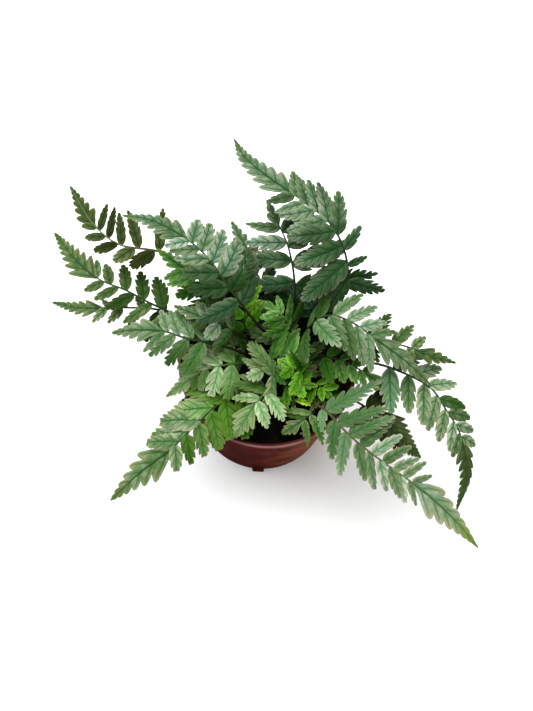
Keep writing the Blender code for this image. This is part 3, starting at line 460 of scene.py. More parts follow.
fronds = {
    "back_tall": frondPlan(
        "shaded", (24, 20), [(38, 32, 112), (44, 44, 136), (41, 56, 150), (29, 72, 161), (6, 87, 164),
        (-16, 104, 158), (-33, 120, 152), (-43, 139, 144)],
        148, 8, 9, 34, taper=1, width=0.37, room=1.9, slim=(1.05, 1.05), sides=(0.95, 0.95), basal=(0.7, 1),
        lean=(142, 50, 40), skew=20, turn=0.26, droop=(0, 0.12, 0.1), cut=0.4, pitch=5.6, foot=0.6, point=0.8,
        tipShare=0.46, tipSlope=0.19, tipCut=0.44, spreadLeft=((0, 1.25), (0.15, 1.35), (0.45, 1.15), (1, 1.1)),
        spreadRight=((0, 1.1), (0.05, 0.95), (0.11, 0.5), (0.17, 0.55), (0.22, 1.15), (0.5, 1.25), (1, 1.1))),
    "back_middle": frondPlan(
        "deep", (16, 25), [(14, 33, 108), (9, 51, 129), (3, 66, 137), (-4, 79, 138), (-15, 101, 134)],
        74, 4, 3, 34, taper=0.6, width=0.38, sides=(1.1, 1.25), lean=(100, 78, 42), skew=-4, droop=(0.12, 0.12, 0.12),
        cut=0.6, pitch=6.4, tipShare=0.3, spreadRight=((0, 1.3), (0.5, 1.1), (1, 1)), seed=21),
    "back_left": frondPlan(
        "shaded", (9, 22), [(3, 29, 100), (-6, 40, 113), (-16, 53, 121), (-26, 69, 125), (-37, 87, 123)],
        58, 3, 4, 26, taper=0.7, stem=0.9, width=0.5, sides=(0.9, 0.6), tipCut=0.6),
    "left_back": frondPlan(
        "shaded", (3, 18), [(-9, 14, 120), (-22, 17, 144), (-30, 22, 153), (-46, 38, 160), (-66, 53, 158),
        (-88, 65, 150), (-108, 71, 140)],
        118, 6, 8, 34, slim=(1.05, 1.2), sides=(1, 1.2), lean=(72, 58, 40), skew=-4, cut=0.52, pitch=7, foot=0.5,
        point=0.84, tipShare=0.46, tipSlope=0.2, tipCut=0.5),
    "left_rise": frondPlan(
        "mid", (-3, 15), [(-17, 18, 112), (-34, 26, 126), (-50, 35, 132), (-66, 45, 131), (-83, 57, 126)],
        62, 4, 4, 24, taper=0.6, stem=0.85, slim=(1.15, 1.1), sides=(0.85, 0.9), pitch=5.4, point=0.82),
    "left_dark": frondPlan(
        "olive", (-8, 27), [(-25, 34, 106), (-48, 46, 116), (-79, 58, 120), (-110, 61, 118), (-131, 77, 112),
        (-155, 110, 102)],
        104, 5, 6, 26, taper=1, width=0.42, slim=(1.4, 0.6), sides=(0.9, 1.6), lean=(72, 50, 30), skew=-12, turn=0.45,
        lift=0.3, cut=0.32, point=0.76, tipSlope=0.22, tipCut=0.55, spreadLeft=((0, 0.75), (0.3, 1), (1, 1)),
        spreadRight=((0, 0.92), (0.4, 1), (0.7, 1.3), (1, 1.3)), stemLook="brown"),
    "left_high": frondPlan(
        "green", (-10, 17), [(-28, 14, 101), (-45, 15, 107), (-65, 19, 110), (-83, 25, 109), (-101, 33, 107),
        (-120, 40, 103), (-138, 53, 98), (-161, 78, 90)],
        122, 5, 8, 27, taper=0.8, slim=(0.95, 0.85), sides=(1, 1.1), lean=(66, 54, 38), stagger=-0.9, cut=0.38,
        pitch=5.6, point=0.8, tipShare=0.44, tipSlope=0.24, tipCut=0.62),
    "left_low": frondPlan(
        "green", (-15, 10), [(-31, 8, 93), (-50, 16, 97), (-74, 26, 97), (-106, 26, 93), (-133, 25, 86),
        (-154, 29, 80)],
        90, 4, 7, 17, taper=0.6, sides=(1.2, 0.9), tipSlope=0.22, tipCut=0.6),
    "left_broad": frondPlan(
        "light", (-10, 3), [(-19, -3, 113), (-35, -6, 128), (-53, -6, 131), (-68, -2, 128), (-85, 0, 121),
        (-104, -1, 112)],
        74, 4, 5, 26, taper=0.75, width=0.5, cut=0.58, pitch=5.8, foot=0.3, point=0.78, tipShare=0.5, tipSlope=0.3),
    "left_inner": frondPlan(
        "light", (-6, 10), [(-19, 8, 114), (-32, 7, 130), (-47, 8, 137), (-65, 14, 134)],
        52, 3, 4, 20, stem=0.85, width=0.5, slim=(1.2, 1.2), stretch=1.2, sides=(0.7, 1)),
    "left_pale": frondPlan(
        "palest", (-3, -4), [(-9, -8, 104), (-19, -11, 113), (-30, -16, 117), (-40, -20, 115), (-52, -28, 109),
        (-63, -36, 100)],
        58, 4, 5, 23, stem=0.9, width=0.56, room=1.5, stretch=1.06, sides=(0.8, 1.25), cut=0.64, pitch=6.2, foot=0.2,
        point=0.76, stemLook="green"),
    "left_under": frondPlan(
        "olive", (-6, -12), [(-14, -20, 98), (-26, -27, 102), (-40, -31, 101), (-55, -38, 95)],
        38, 2, 5, 13, stem=0.8),
    "front_left": frondPlan(
        "front", (4, -15), [(-3, -24, 98), (-12, -28, 105), (-26, -37, 108), (-41, -54, 104), (-55, -70, 97),
        (-73, -85, 86), (-90, -103, 74)],
        124, 6, 6, 34, taper=0.9, width=0.44, room=1.35, slim=(1.05, 1.15), sides=(1, 1.2), lean=(64, 52, 38),
        skew=14, cut=0.42, pitch=5.8, foot=0.65, point=0.66, tipShare=0.44, tipCut=0.6,
        spreadLeft=((0, 0.85), (0.3, 0.95), (1, 1)), spreadRight=((0, 0.65), (0.3, 1), (1, 1))),
    "front_pale": frondPlan(
        "palest", (11, -13), [(5, -25, 111), (-2, -35, 119), (-9, -47, 116), (-15, -60, 108)],
        44, 2, 5, 15, stem=0.85, slim=(1.15, 1.15), stretch=1.25, cut=0.62, foot=0.3, tipShare=0.6, tipSlope=0.42,
        stemLook="green"),
    "front_right": frondPlan(
        "grey", (24, -13), [(32, -28, 106), (42, -36, 112), (58, -49, 110), (72, -56, 104), (91, -64, 96),
        (114, -73, 85), (137, -86, 73), (155, -99, 62)],
        150, 9, 7, 38, taper=1, width=0.33, room=1.32, slim=(0.85, 1), sides=(0.86, 1), basal=(1.1, 0.9),
        lean=(66, 54, 42), skew=12, droop=(0.1, 0.12, 0.12), cut=0.36, deep=1.9, pitch=6, foot=0.8, point=0.64,
        tipSlope=0.27, tipCut=0.34, spreadLeft=((0, 1.15), (0.2, 1.2), (0.4, 1.1), (1, 1)),
        spreadRight=((0, 0.45), (0.06, 0.6), (0.14, 0.9), (1, 1)), stemLook="brown"),
    "right_dark": frondPlan(
        "olive", (30, -6), [(44, -15, 100), (59, -22, 103), (74, -29, 102), (87, -37, 98), (98, -44, 93),
        (108, -50, 87)],
        58, 1, 9, 20, taper=0.8, stem=0.85, tipShare=0.8, tipSlope=0.36, tipCut=0.45),
    "right_high": frondPlan(
        "light", (17, 14), [(20, 13, 110), (25, 17, 128), (35, 21, 136), (48, 17, 140), (65, 9, 137), (87, -1, 130),
        (105, -11, 121)],
        108, 6, 7, 31, taper=0.75, slim=(0.9, 1.05), lean=(78, 58, 40), skew=0, cut=0.52, deep=1.2, pitch=6, foot=0.5,
        point=0.8, tipShare=0.44, tipSlope=0.25, tipCut=0.6,
        spreadRight=((0, 1.15), (0.25, 1.15), (0.45, 1.4), (1, 1.2))),
    "right_hooked": frondPlan(
        "hooked", (31, 5), [(46, 3, 100), (66, 3, 110), (86, -2, 114), (108, -10, 111), (120, -21, 104),
        (130, -30, 96), (137, -41, 87), (142, -54, 76), (139, -75, 62)],
        130, 7, 8, 29, taper=0.7, slim=(0.95, 0.9), sides=(0.95, 1.08), lean=(66, 50, 34), skew=-9, cut=0.26,
        deep=1.8, pitch=5.8, point=0.76, tipShare=0.38, tipSlope=0.19, tipCut=0.54, stemLook="grey", seed=40),
    "right_middle": frondPlan(
        "green", (30, 15), [(42, 14, 110), (64, 12, 125), (87, 10, 128), (105, 8, 122), (123, 9, 114)],
        74, 3, 5, 23, stem=0.9, sides=(1.2, 0.8)),
    "right_young": frondPlan(
        "mid", (24, 8), [(31, 4, 106), (41, 1, 114), (52, -3, 118), (69, -10, 115), (85, -18, 106)],
        62, 4, 4, 18, stem=0.8, width=0.5, sides=(0.9, 1.1)),
    "young_left": frondPlan(
        "young", (-2, 10), [(-12, 12, 102), (-19, 17, 116), (-19, 24, 124), (-16, 31, 128), (-11, 40, 128)],
        40, 3, 3, 15, stem=0.7, width=0.55, stretch=1.15),
    "young_back": frondPlan(
        "mid", (11, 16), [(12, 18, 108), (9, 21, 119), (2, 24, 124), (-5, 28, 125), (-11, 32, 121)],
        38, 3, 2, 16, taper=0.9, stem=0.7, width=0.58, stemLook="green"),
    "young_middle": frondPlan(
        "mid", (2, 3), [(0, -3, 104), (4, -3, 110), (12, -1, 113), (20, 3, 114), (30, 6, 112)],
        38, 3, 4, 17, stem=0.7, width=0.52, slim=(1.2, 1.2), stretch=1.45, sides=(1, 0.75)),
    "young_right": frondPlan(
        "young", (28, -12), [(30, -13, 98), (34, -16, 106), (39, -20, 109), (46, -26, 106)],
        24, 2, 3, 11, stem=0.6, width=0.55, stretch=1.3),
    "young_low": frondPlan(
        "green", (35, -13), [(37, -17, 98), (40, -22, 102), (44, -28, 102), (49, -35, 98)],
        24, 2, 4, 9, stem=0.6, stretch=1.4),
    "pale_middle": frondPlan(
        "palest", (11, -5), [(8, -13, 106), (3, -17, 115), (-6, -15, 121), (-17, -10, 120)],
        33, 2, 5, 13, stem=0.7, width=0.56, room=1.5, slim=(1.1, 1.1), stretch=1.85, sides=(0.8, 1), cut=0.62,
        pitch=5.6, foot=0.22, point=0.78, stemLook="green"),
    "pale_front": frondPlan(
        "palest", (4, -9), [(0, -19, 100), (-4, -23, 106), (-12, -26, 105)],
        20, 2, 4, 11, stem=0.6, slim=(1.1, 1.1), stretch=1.6, stemLook="green"),
    "front_small": frondPlan(
        "young", (10, -20), [(8, -24, 96), (10, -30, 103), (14, -37, 98)],
        21, 2, 4, 10, stem=0.6, stretch=1.1),
    "young_front": frondPlan(
        "young", (15, -13), [(15, -18, 103), (18, -20, 110), (25, -20, 113), (34, -18, 110)],
        28, 2, 3, 13, stem=0.6, width=0.55, slim=(1.15, 1.15), stretch=1.3),
    "low_middle": frondPlan(
        "green", (14, 2), [(17, -2, 97), (22, -5, 101), (29, -6, 101), (38, -4, 97)],
        32, 2, 3, 14, stem=0.7, width=0.55, slim=(1.2, 1.2), stretch=1.7),
    "low_left": frondPlan(
        "green", (-8, 6), [(-16, 6, 98), (-24, 6, 102), (-34, 7, 102), (-45, 8, 97)],
        35, 3, 3, 16, stem=0.7, width=0.55, slim=(1.2, 1.2), stretch=1.3, sides=(1, 0.75)),
    "low_back": frondPlan(
        "blue", (2, 22), [(-2, 25, 97), (-8, 30, 101), (-13, 37, 102), (-17, 46, 99)],
        30, 2, 3, 12, stem=0.7, width=0.5, slim=(1.2, 1.2), stretch=1.5),
    "newest": frondPlan(
        "newest", (19, -19), [(20, -23, 96), (21, -28, 102), (20, -35, 98)],
        16, 1, 3, 7, stem=0.55, slim=(1.2, 1.2), stretch=1.5),
    "front_cross": frondPlan(
        "pale", (27, -19), [(33, -28, 98), (34, -34, 104), (30, -39, 107), (23, -45, 105), (15, -50, 99)],
        28, 2, 4, 11, stem=0.6, width=0.5, stretch=1.6, tipShare=0.6, tipSlope=0.4),
    "young_cross": frondPlan(
        "young", (21, -7), [(25, -11, 109), (21, -13, 118), (14, -12, 122), (6, -8, 121)],
        24, 2, 3, 12, stem=0.6, width=0.55, slim=(1.15, 1.15), stretch=1.25),
    "dark_back": frondPlan(
        "blue", (23, 27), [(23, 30, 98), (25, 36, 105), (24, 45, 110), (20, 56, 111)],
        30, 3, 3, 15, stem=0.6, width=0.5, slim=(1.3, 1.3), stretch=1.9, tipCut=0.62),
    "dark_centre": frondPlan(
        "green", (7, 8), [(6, 10, 97), (5, 14, 103), (1, 20, 105), (-5, 28, 103)],
        24, 2, 3, 11, stem=0.6, width=0.55, slim=(1.25, 1.25), stretch=1.8, sides=(1, 0.8)),
}


# A stem's route: a smooth line from its root through the places of its plan
class Stalk:
    def __init__(self, plan):
        level, depth = soil["level"], frondShape["rootDepth"]
        heights = (level - depth, level - depth / 2, level + frondShape["footRise"])
        points = [np.array(point) for point in [(*plan["root"], height) for height in heights] + plan["route"]]
        self.knots = np.arange(frondShape["pathSteps"] + 1)
        self.route, self.length = self.smoothRoute(points)
        ahead = self.route[np.minimum(self.knots + 1, self.knots[-1])]
        behind = self.route[np.maximum(self.knots - 1, 0)]
        self.forward = unit(ahead - behind)
        heading = points[-1] - points[0]
        self.heading = unit(np.array((heading[0], heading[1], 0.0)))

    # A centripetal Catmull-Rom curve through the points, at even steps
    def smoothRoute(self, points):
        padded = [points[0] * 2 - points[1], *points, points[-1] * 2 - points[-2]]
        steps = frondShape["spanSteps"]
        dense = []
        for near in zip(padded, padded[1:], padded[2:], padded[3:]):
            times = [0.0]
            for before, after in zip(near, near[1:]):
                times.append(times[-1] + np.linalg.norm(after - before) ** 0.5)
            t = (times[1] + (times[2] - times[1]) * np.arange(steps) / steps)[:, None]
            for spans in (((0, 1), (1, 2), (2, 3)), ((0, 2), (1, 3)), ((1, 2),)):
                spans = [(times[start], times[stop]) for start, stop in spans]
                near = [a * ((stop - t) / (stop - start)) + b * ((t - start) / (stop - start))
                        for (start, stop), a, b in zip(spans, near, near[1:])]
            dense.append(near[0])
        dense = np.concatenate([*dense, points[-1][None]])
        lengths = np.concatenate([[0.0], np.cumsum(np.linalg.norm(np.diff(dense, axis=0), axis=1))])
        targets = np.linspace(0.0, lengths[-1], len(self.knots))
        return self.between(targets, lengths, dense), lengths[-1]

    def between(self, places, knots, values):
        return np.stack([np.interp(places, knots, values[:, axis]) for axis in range(3)], axis=-1)

    # Place, forward, right and up at each length along the stem
    def at(self, run):
        run = np.asarray(run, float)
        share = np.clip(run / self.length, 0.0, 1.0) * self.knots[-1]
        place = self.between(share, self.knots, self.route)
        forward = unit(self.between(share, self.knots, self.forward))
        place = place + forward * np.maximum(run - self.length, 0.0)[..., None]
        rise = forward[..., 2:3]
        flat = np.sqrt(np.maximum(1 - rise * rise, 0.0))
        up = np.array((0.0, 0.0, 1.0)) * flat - self.heading * rise
        up = unit(up - forward * (forward * up).sum(-1, keepdims=True))
        return place, forward, np.cross(forward, up), up


# From 0 to 1 as the share reaches its end, along a quarter of a wave
def swell(share, end):
    return np.sin(np.pi / 2 * np.clip(share / end, 0.0, 1.0))


# How far a tooth or lobe reaches between its two notches: it swells slowly, then drops just past its tip
def lobeReach(beat, peak, rising=0.6, falling=0.55):
    return swell(beat, peak) ** rising * swell(1 - beat, 1 - peak) ** falling


# Half width of a leaflet along its length, before its teeth are cut
def leafletEdge(part, foot, point):
    neck = frondShape["neck"]
    belly = foot + (1 - foot) * swell(part, frondShape["bellyAt"])
    belly = belly * (neck + (1 - neck) * swell(part, frondShape["neckAt"]))
    return frondShape["breadth"] * (1 - part) ** point * (1 + frondShape["fullness"] * point * part) * belly


# Small reliefs of a leaf: grooved midrib and side veins, raised between them, and a gentle fold
def leafRelief(phase, side, half, part, fold, cup, wave):
    off = phase - np.floor(phase) - 0.5 - frondShape["veinSweep"] * side
    vein = np.exp(-((off / frondShape["veinWidth"]) ** 2)) * np.sin(np.pi * side ** frondShape["veinFade"])
    midrib = np.exp(-((side / frondShape["midribWidth"]) ** 2))
    depth = np.minimum(half * frondShape["reliefShare"], frondShape["reliefDepth"])
    relief = half * side * fold - half * side * side * cup - depth * (vein + midrib)
    relief = relief + depth * frondShape["raised"] * np.sin(np.pi * side) * (0.5 - 0.5 * np.cos(np.pi * 2 * off))
    lengthwise, sideways = frondShape["waves"]
    return relief + wave * half * np.sin(part * lengthwise + side * sideways)


class Frond:
    def __init__(self, name, plan, seed):
        self.name = name
        self.plan = plan
        self.stalk = Stalk(plan)
        self.chance = random.Random(seed)
        self.body = Body()
        self.start = self.stalk.length - plan["blade"]
        self.room = self.bySize("leafletRoom")
        self.stretch = plan["stretch"] * self.bySize("leafletStretch")
        self.across = np.linspace(-1.0, 1.0, frondShape["columns"] * 2 + 1)[None, :]
        self.side = np.abs(self.across)

    # A value for this frond, between the one for small blades and the one for large ones
    def bySize(self, name):
        return np.interp(self.plan["blade"], frondShape["bladeSizes"], frondShape[name])

    # A value at a share of the blade, from the plan's three
    def alongBlade(self, name, share):
        return float(np.interp(share, (0.0, self.plan["turn"], 1.0), self.plan[name]))

    # Where each leaflet of one side begins and ends along the stem
    def stations(self):
        plan = self.plan
        parts = ((plan["free"], 1 - plan["tipShare"], frondShape["freeSteps"]),
                 (plan["joined"], plan["tipShare"], frondShape["joinedSteps"]))
        steps = []
        for count, share, (first, last) in parts:
            sizes = np.linspace(first, last, count)
            steps += list(sizes / sizes.sum() * share * (plan["blade"] * frondShape["leafyShare"]))
        run = self.start
        found = []
        for step in steps:
            middle = run + step / 2
            share = (middle - self.start) / plan["blade"]
            found.append((run, run + step, middle, share, plan["longest"] * (1 - share) ** plan["taper"]))
            run += step
        return found[:plan["free"]], found[plan["free"]:]

    # One free leaflet, from its foot on the stem at a length of run
    def leaflet(self, sign, run, step, share, reach):
        plan, chance, across, side = self.plan, self.chance, self.across, self.side
        middle, forward, right, up = (value[0] for value in self.stalk.at([run]))
        lean = np.radians(self.alongBlade("lean", share) - sign * plan["skew"] * (1 - share))
        lean = lean + math.radians(chance.gauss(0, leafletChance["lean"]))
        outward = right * sign
        along = forward * math.cos(lean) + outward * math.sin(lean)
        crosswise = forward * math.sin(lean) - outward * math.cos(lean)
        roll = math.radians(chance.gauss(0, leafletChance["roll"]))
        twist = math.radians(chance.gauss(0, leafletChance["twist"]))
        length = reach * self.stretch * chance.gauss(1, leafletChance["length"])
        droop = self.alongBlade("droop", share) + chance.gauss(0, leafletChance["droop"])
        width = min(length * plan["width"] * frondShape["leafletWiden"],
                    step * math.sin(lean) * self.room * plan["room"]) * plan["slim"][int(sign > 0)]
        teeth = max(frondShape["fewestTeeth"], round(length / mm / plan["pitch"]))
        phase = np.array([tooth + part for tooth in range(teeth) for part in frondShape["toothSteps"]] + [teeth])
        part = (phase / teeth) ** (1 / frondShape["toothCrowding"])
        foot = min(plan["foot"] + frondShape["footGrowth"] * share, frondShape["widestFoot"])
        edge = leafletEdge(part, foot, plan["point"]) * width / 2
        cut = plan["cut"] * np.interp(share, (0.0, frondShape["deepUntil"]), (plan["deep"], 1.0))
        cut = cut * (frondShape["cutAtFoot"] - frondShape["cutLoss"] * share)
        cut = cut * np.interp(part, *frondShape["cutAlongLeaflet"])
        uneven = np.array([[1 + frondShape["unevenTeeth"] * chance.gauss(0, 1) for _ in range(teeth)]
                           for _ in plan["sides"]])
        cut = cut * uneven[:, np.minimum(phase.astype(int), teeth - 1)]
        cut = np.clip(cut, 0.0, frondShape["deepestCut"]).T[:, (across[0] > 0).astype(int)]
        edge, phase, part = (value[:, None] for value in (edge + frondShape["leastHalf"], phase, part))
        notch = 1 - lobeReach(phase % 1.0, frondShape["toothPeak"])
        lateral = edge * side * (1 - cut * notch * side ** frondShape["cutGrowth"])
        fold, cup = chance.gauss(*leafletChance["fold"]), chance.gauss(*leafletChance["cup"])
        relief = leafRelief(phase, side, edge, part, fold, cup, chance.gauss(0, leafletChance["wave"]))
        slant = np.interp(part, (0.0, frondShape["bellyAt"]), (frondShape["footSlant"], 1.0))
        inner, outer = frondShape["leafletSweep"]
        ahead = part * length + lateral * slant * (inner + outer * side)
        reached = ahead / length
        angle = (roll + twist * reached)[..., None]
        crossTurned = crosswise * np.cos(angle) + up * np.sin(angle)
        upTurned = up * np.cos(angle) - crosswise * np.sin(angle)
        lift = plan["lift"] * reached - droop * reached ** 2
        hook = frondShape["hook"] * reached ** 2 * length
        grid = middle + along * (ahead[..., None] - frondShape["intoStem"]) + crosswise * hook[..., None]
        grid = grid + up * (lift * length)[..., None]
        grid = grid + crossTurned * (lateral * np.sign(across))[..., None] + upTurned * relief[..., None]
        tint = min(max(chance.gauss(*leafletChance["tint"]), 0.0), 1.0)
        addLeafBody(self.body, grid, up, phase=phase, across=across, part=part, tint=tint, share=share)

    # The end of the blade, where the leaflets run together into a pointed tip
    def tip(self, stations):
        plan, chance, side, end = self.plan, self.chance, self.side, self.stalk.length
        first, last = stations[0][0], stations[-1][1]
        runs, phase = [], []
        for index, (begin, stop, *_) in enumerate([*stations, (last, end)]):
            steps = frondShape["lobeSteps" if index < len(stations) else "endSteps"]
            runs += [begin + (stop - begin) * part for part in steps]
            phase += [index + part for part in steps]
        runs, phase = np.array(runs)[:, None], np.array(phase)[:, None]
        share = (runs - self.start) / plan["blade"]
        gone = (runs - first) / (end - first)
        reach = plan["longest"] * np.maximum(1 - share, 0.0) ** plan["taper"]
        reach = np.maximum(reach, np.minimum((end - runs) * frondShape["endSlope"], frondShape["endReach"]))
        reach = reach + 0.1 * mm
        cut = np.minimum(plan["tipCut"] * np.interp(gone, *frondShape["cutAlongTip"]), frondShape["deepestTipCut"])
        cut = cut * (1 - lobeReach(phase % 1.0, frondShape["lobePeak"], *[frondShape["lobeRound"]] * 2))
        sizes = np.where(self.across < 0, *plan["sides"])
        wide = np.minimum(reach * sizes * self.stretch, (end - runs) * plan["tipSlope"] + frondShape["endRound"])
        lateral = wide * frondShape["lobeSideways"] * side * (1 - cut * side ** frondShape["cutGrowth"])
        ahead = wide * frondShape["lobeForward"] * side ** frondShape["lobeCurve"]
        ahead = ahead * (1 - frondShape["notchBack"] * cut)
        place, forward, right, up = self.stalk.at(runs + ahead)
        fold, cup = chance.gauss(*leafletChance["tipFold"]), chance.gauss(*leafletChance["tipCup"])
        relief = leafRelief(phase, side, reach * frondShape["tipRelief"], share, fold, cup, frondShape["tipWave"])
        grid = place + right * (lateral * np.sign(self.across))[..., None] + up * relief[..., None]
        addLeafBody(self.body, grid, up.mean((0, 1)), phase=phase, across=self.across, part=gone * 0.9,
                    tint=0.5, share=share)

    def stem(self):
        plan, length = self.plan, self.stalk.length
        low, high = frondShape["stemEnds"]
        runs = np.linspace(low, length - high, frondShape["stemSteps"])
        place, forward, right, up = self.stalk.at(runs)
        bare = self.start - frondShape["lead"]
        thin = plan["stem"] * frondShape["stemThinning"]
        rachis = frondShape["rachisRadius"] * plan["stem"] / mm
        radii = np.where(
            runs < bare,
            np.interp(runs, (0, bare), (plan["stem"], thin)),
            np.interp(runs, (bare, bare + frondShape["rachisFrom"], length), (thin, rachis, frondShape["rachisEnd"])),
        )
        addTube(self.body, place + up * frondShape["leastHalf"], radii, right, up, frondShape["stemSides"], slot=1,
                groove=frondShape["groove"], share=(runs - self.start) / plan["blade"],
                part=np.linspace(0, 1, len(runs)), tint=0.5)

    def grow(self, finishes):
        plan = self.plan
        free, joined = self.stations()
        halfStep = plan["blade"] / 2 / (plan["free"] + plan["joined"] / 2)
        for index, (begin, end, middle, share, reach) in enumerate(free):
            for sign, spread in ((1, "spreadRight"), (-1, "spreadLeft")):
                size = reach * plan["sides"][int(sign > 0)] * float(np.interp(share, *zip(*plan[spread])))
                if index == 0:
                    size *= plan["basal"][int(sign > 0)]
                shift = halfStep * max(-sign * plan["stagger"], 0.0)
                self.leaflet(sign, middle + shift, end - begin, share, size)
        self.tip(joined)
        self.stem()
        item = self.body.piece("leaves_" + self.name, finishes)
        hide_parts("frond_" + self.name)
        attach(item, "root")


# Colours in thousandths of full light
def milli(colour):
    return tuple(part / 1000 for part in colour)


# A look of leaves: a leaflet's middle, its outer part, pale patches on it, its veins, the tint of leaflets near the
# blade's foot and of dark ones, which is partly their young colour and partly painted shade inside the crown, its
# margin, the end of the frond and the underside
def leafLook(**parts):
    given = {name: milli(value) if isinstance(value, tuple) else value for name, value in parts.items()}
    return {"freshFrom": 0.02, "endFrom": 0.82, **given}


leafLooks = {
    "green": leafLook(
        centre=(28, 68, 19), outer=(78, 108, 38), patch=(146, 178, 84), vein=(4, 21, 3), fresh=(14, 45, 3),
        margin=(130, 110, 48), end=(29, 61, 8), under=(45, 69, 14), patchShare=0.7, freshUntil=0.4),
    "pale": leafLook(
        centre=(66, 131, 47), outer=(157, 186, 75), patch=(217, 265, 134), vein=(13, 46, 10), fresh=(24, 79, 7),
        margin=(207, 178, 89), end=(76, 128, 17), under=(59, 99, 24), patchShare=0.65, freshUntil=0.35),
    "light": leafLook(
        centre=(50, 104, 44), outer=(114, 150, 82), patch=(172, 216, 138), vein=(14, 52, 11), fresh=(18, 62, 6),
        margin=(148, 150, 92), end=(56, 92, 13), under=(43, 69, 18), patchShare=0.65, freshUntil=0.3),
    "front": leafLook(
        centre=(39, 92, 29), outer=(104, 139, 62), patch=(173, 217, 124), vein=(8, 36, 5), fresh=(55, 150, 4),
        margin=(159, 165, 68), end=(69, 93, 24), under=(54, 88, 17), patchShare=0.65, freshUntil=0.42, freshFrom=0.1),
    "grey": leafLook(
        centre=(88, 167, 90), outer=(207, 234, 143), patch=(273, 307, 201), vein=(22, 70, 22), fresh=(22, 70, 12),
        margin=(303, 270, 180), end=(105, 160, 18), under=(97, 142, 34), patchShare=0.6, freshUntil=0.46,
        endFrom=0.76),
    "hooked": leafLook(
        centre=(50, 112, 44), outer=(151, 186, 93), patch=(227, 265, 160), vein=(6, 32, 5), fresh=(45, 108, 44),
        margin=(202, 181, 107), end=(20, 40, 3), under=(55, 90, 25), patchShare=0.65, freshUntil=0.25, endFrom=0.55),
    "shaded": leafLook(
        centre=(36, 80, 36), outer=(108, 148, 86), patch=(168, 218, 145), vein=(4, 22, 5), fresh=(9, 34, 8),
        margin=(140, 125, 75), end=(45, 90, 17), under=(30, 55, 12), patchShare=0.65, freshUntil=0.36,
        freshFrom=0.08),
    "blue": leafLook(
        centre=(12, 42, 13), outer=(30, 72, 32), patch=(60, 129, 70), vein=(2, 10, 3), fresh=(6, 26, 5),
        margin=(60, 70, 27), end=(30, 60, 10), under=(28, 53, 13), patchShare=0.5, freshUntil=0.5),
    "olive": leafLook(
        centre=(20, 34, 8), outer=(44, 64, 20), patch=(85, 112, 48), vein=(5, 9, 1), fresh=(17, 23, 2),
        margin=(72, 68, 30), end=(30, 42, 8), under=(36, 52, 14), patchShare=0.4, freshUntil=0.2),
    "young": leafLook(
        centre=(34, 120, 5), outer=(81, 215, 13), patch=(157, 319, 42), vein=(14, 66, 2), fresh=(19, 81, 3),
        margin=(165, 290, 50), end=(151, 278, 17), under=(76, 157, 12), patchShare=0.55, freshUntil=0.25),
    "mid": leafLook(
        centre=(28, 100, 16), outer=(80, 165, 34), patch=(150, 250, 85), vein=(6, 40, 4), fresh=(16, 66, 4),
        margin=(160, 235, 60), end=(100, 190, 20), under=(55, 110, 14), patchShare=0.6, freshUntil=0.35),
    "newest": leafLook(
        centre=(140, 325, 10), outer=(248, 464, 25), patch=(356, 557, 59), vein=(65, 186, 4), fresh=(130, 302, 8),
        margin=(389, 522, 92), end=(356, 499, 42), under=(194, 336, 25), patchShare=0.5, freshUntil=0.1),
}
leafLooks["palest"] = {**leafLooks["light"], **leafLook(
    centre=(72, 146, 50), outer=(150, 205, 92), patch=(215, 275, 150), vein=(30, 85, 18), fresh=(50, 125, 16),
    freshUntil=0.15)}
leafLooks["deep"] = {**leafLooks["shaded"], **leafLook(end=(105, 150, 82), freshFrom=0.18, freshUntil=0.42)}

# What a leaflet's colour is multiplied by, from the darkest leaflets to the palest
leafTones = [
    (0.24, (0.38, 0.47, 0.20)),
    (0.50, (1.08, 1.04, 0.96)),
    (0.76, (1.95, 1.72, 2.10)),
]

# Sizes of the patterns on leaves, larger is finer, and how strong they show
leafPattern = {
    "cloud": 34,
    "blotch": 190,
    "grain": 1400,
    "cells": 2600,
    "fresh": 0.82,
    "darkLeaflets": 0.55,
    "margin": 0.6,
    "end": 0.8,
    "endLength": 0.16,
}


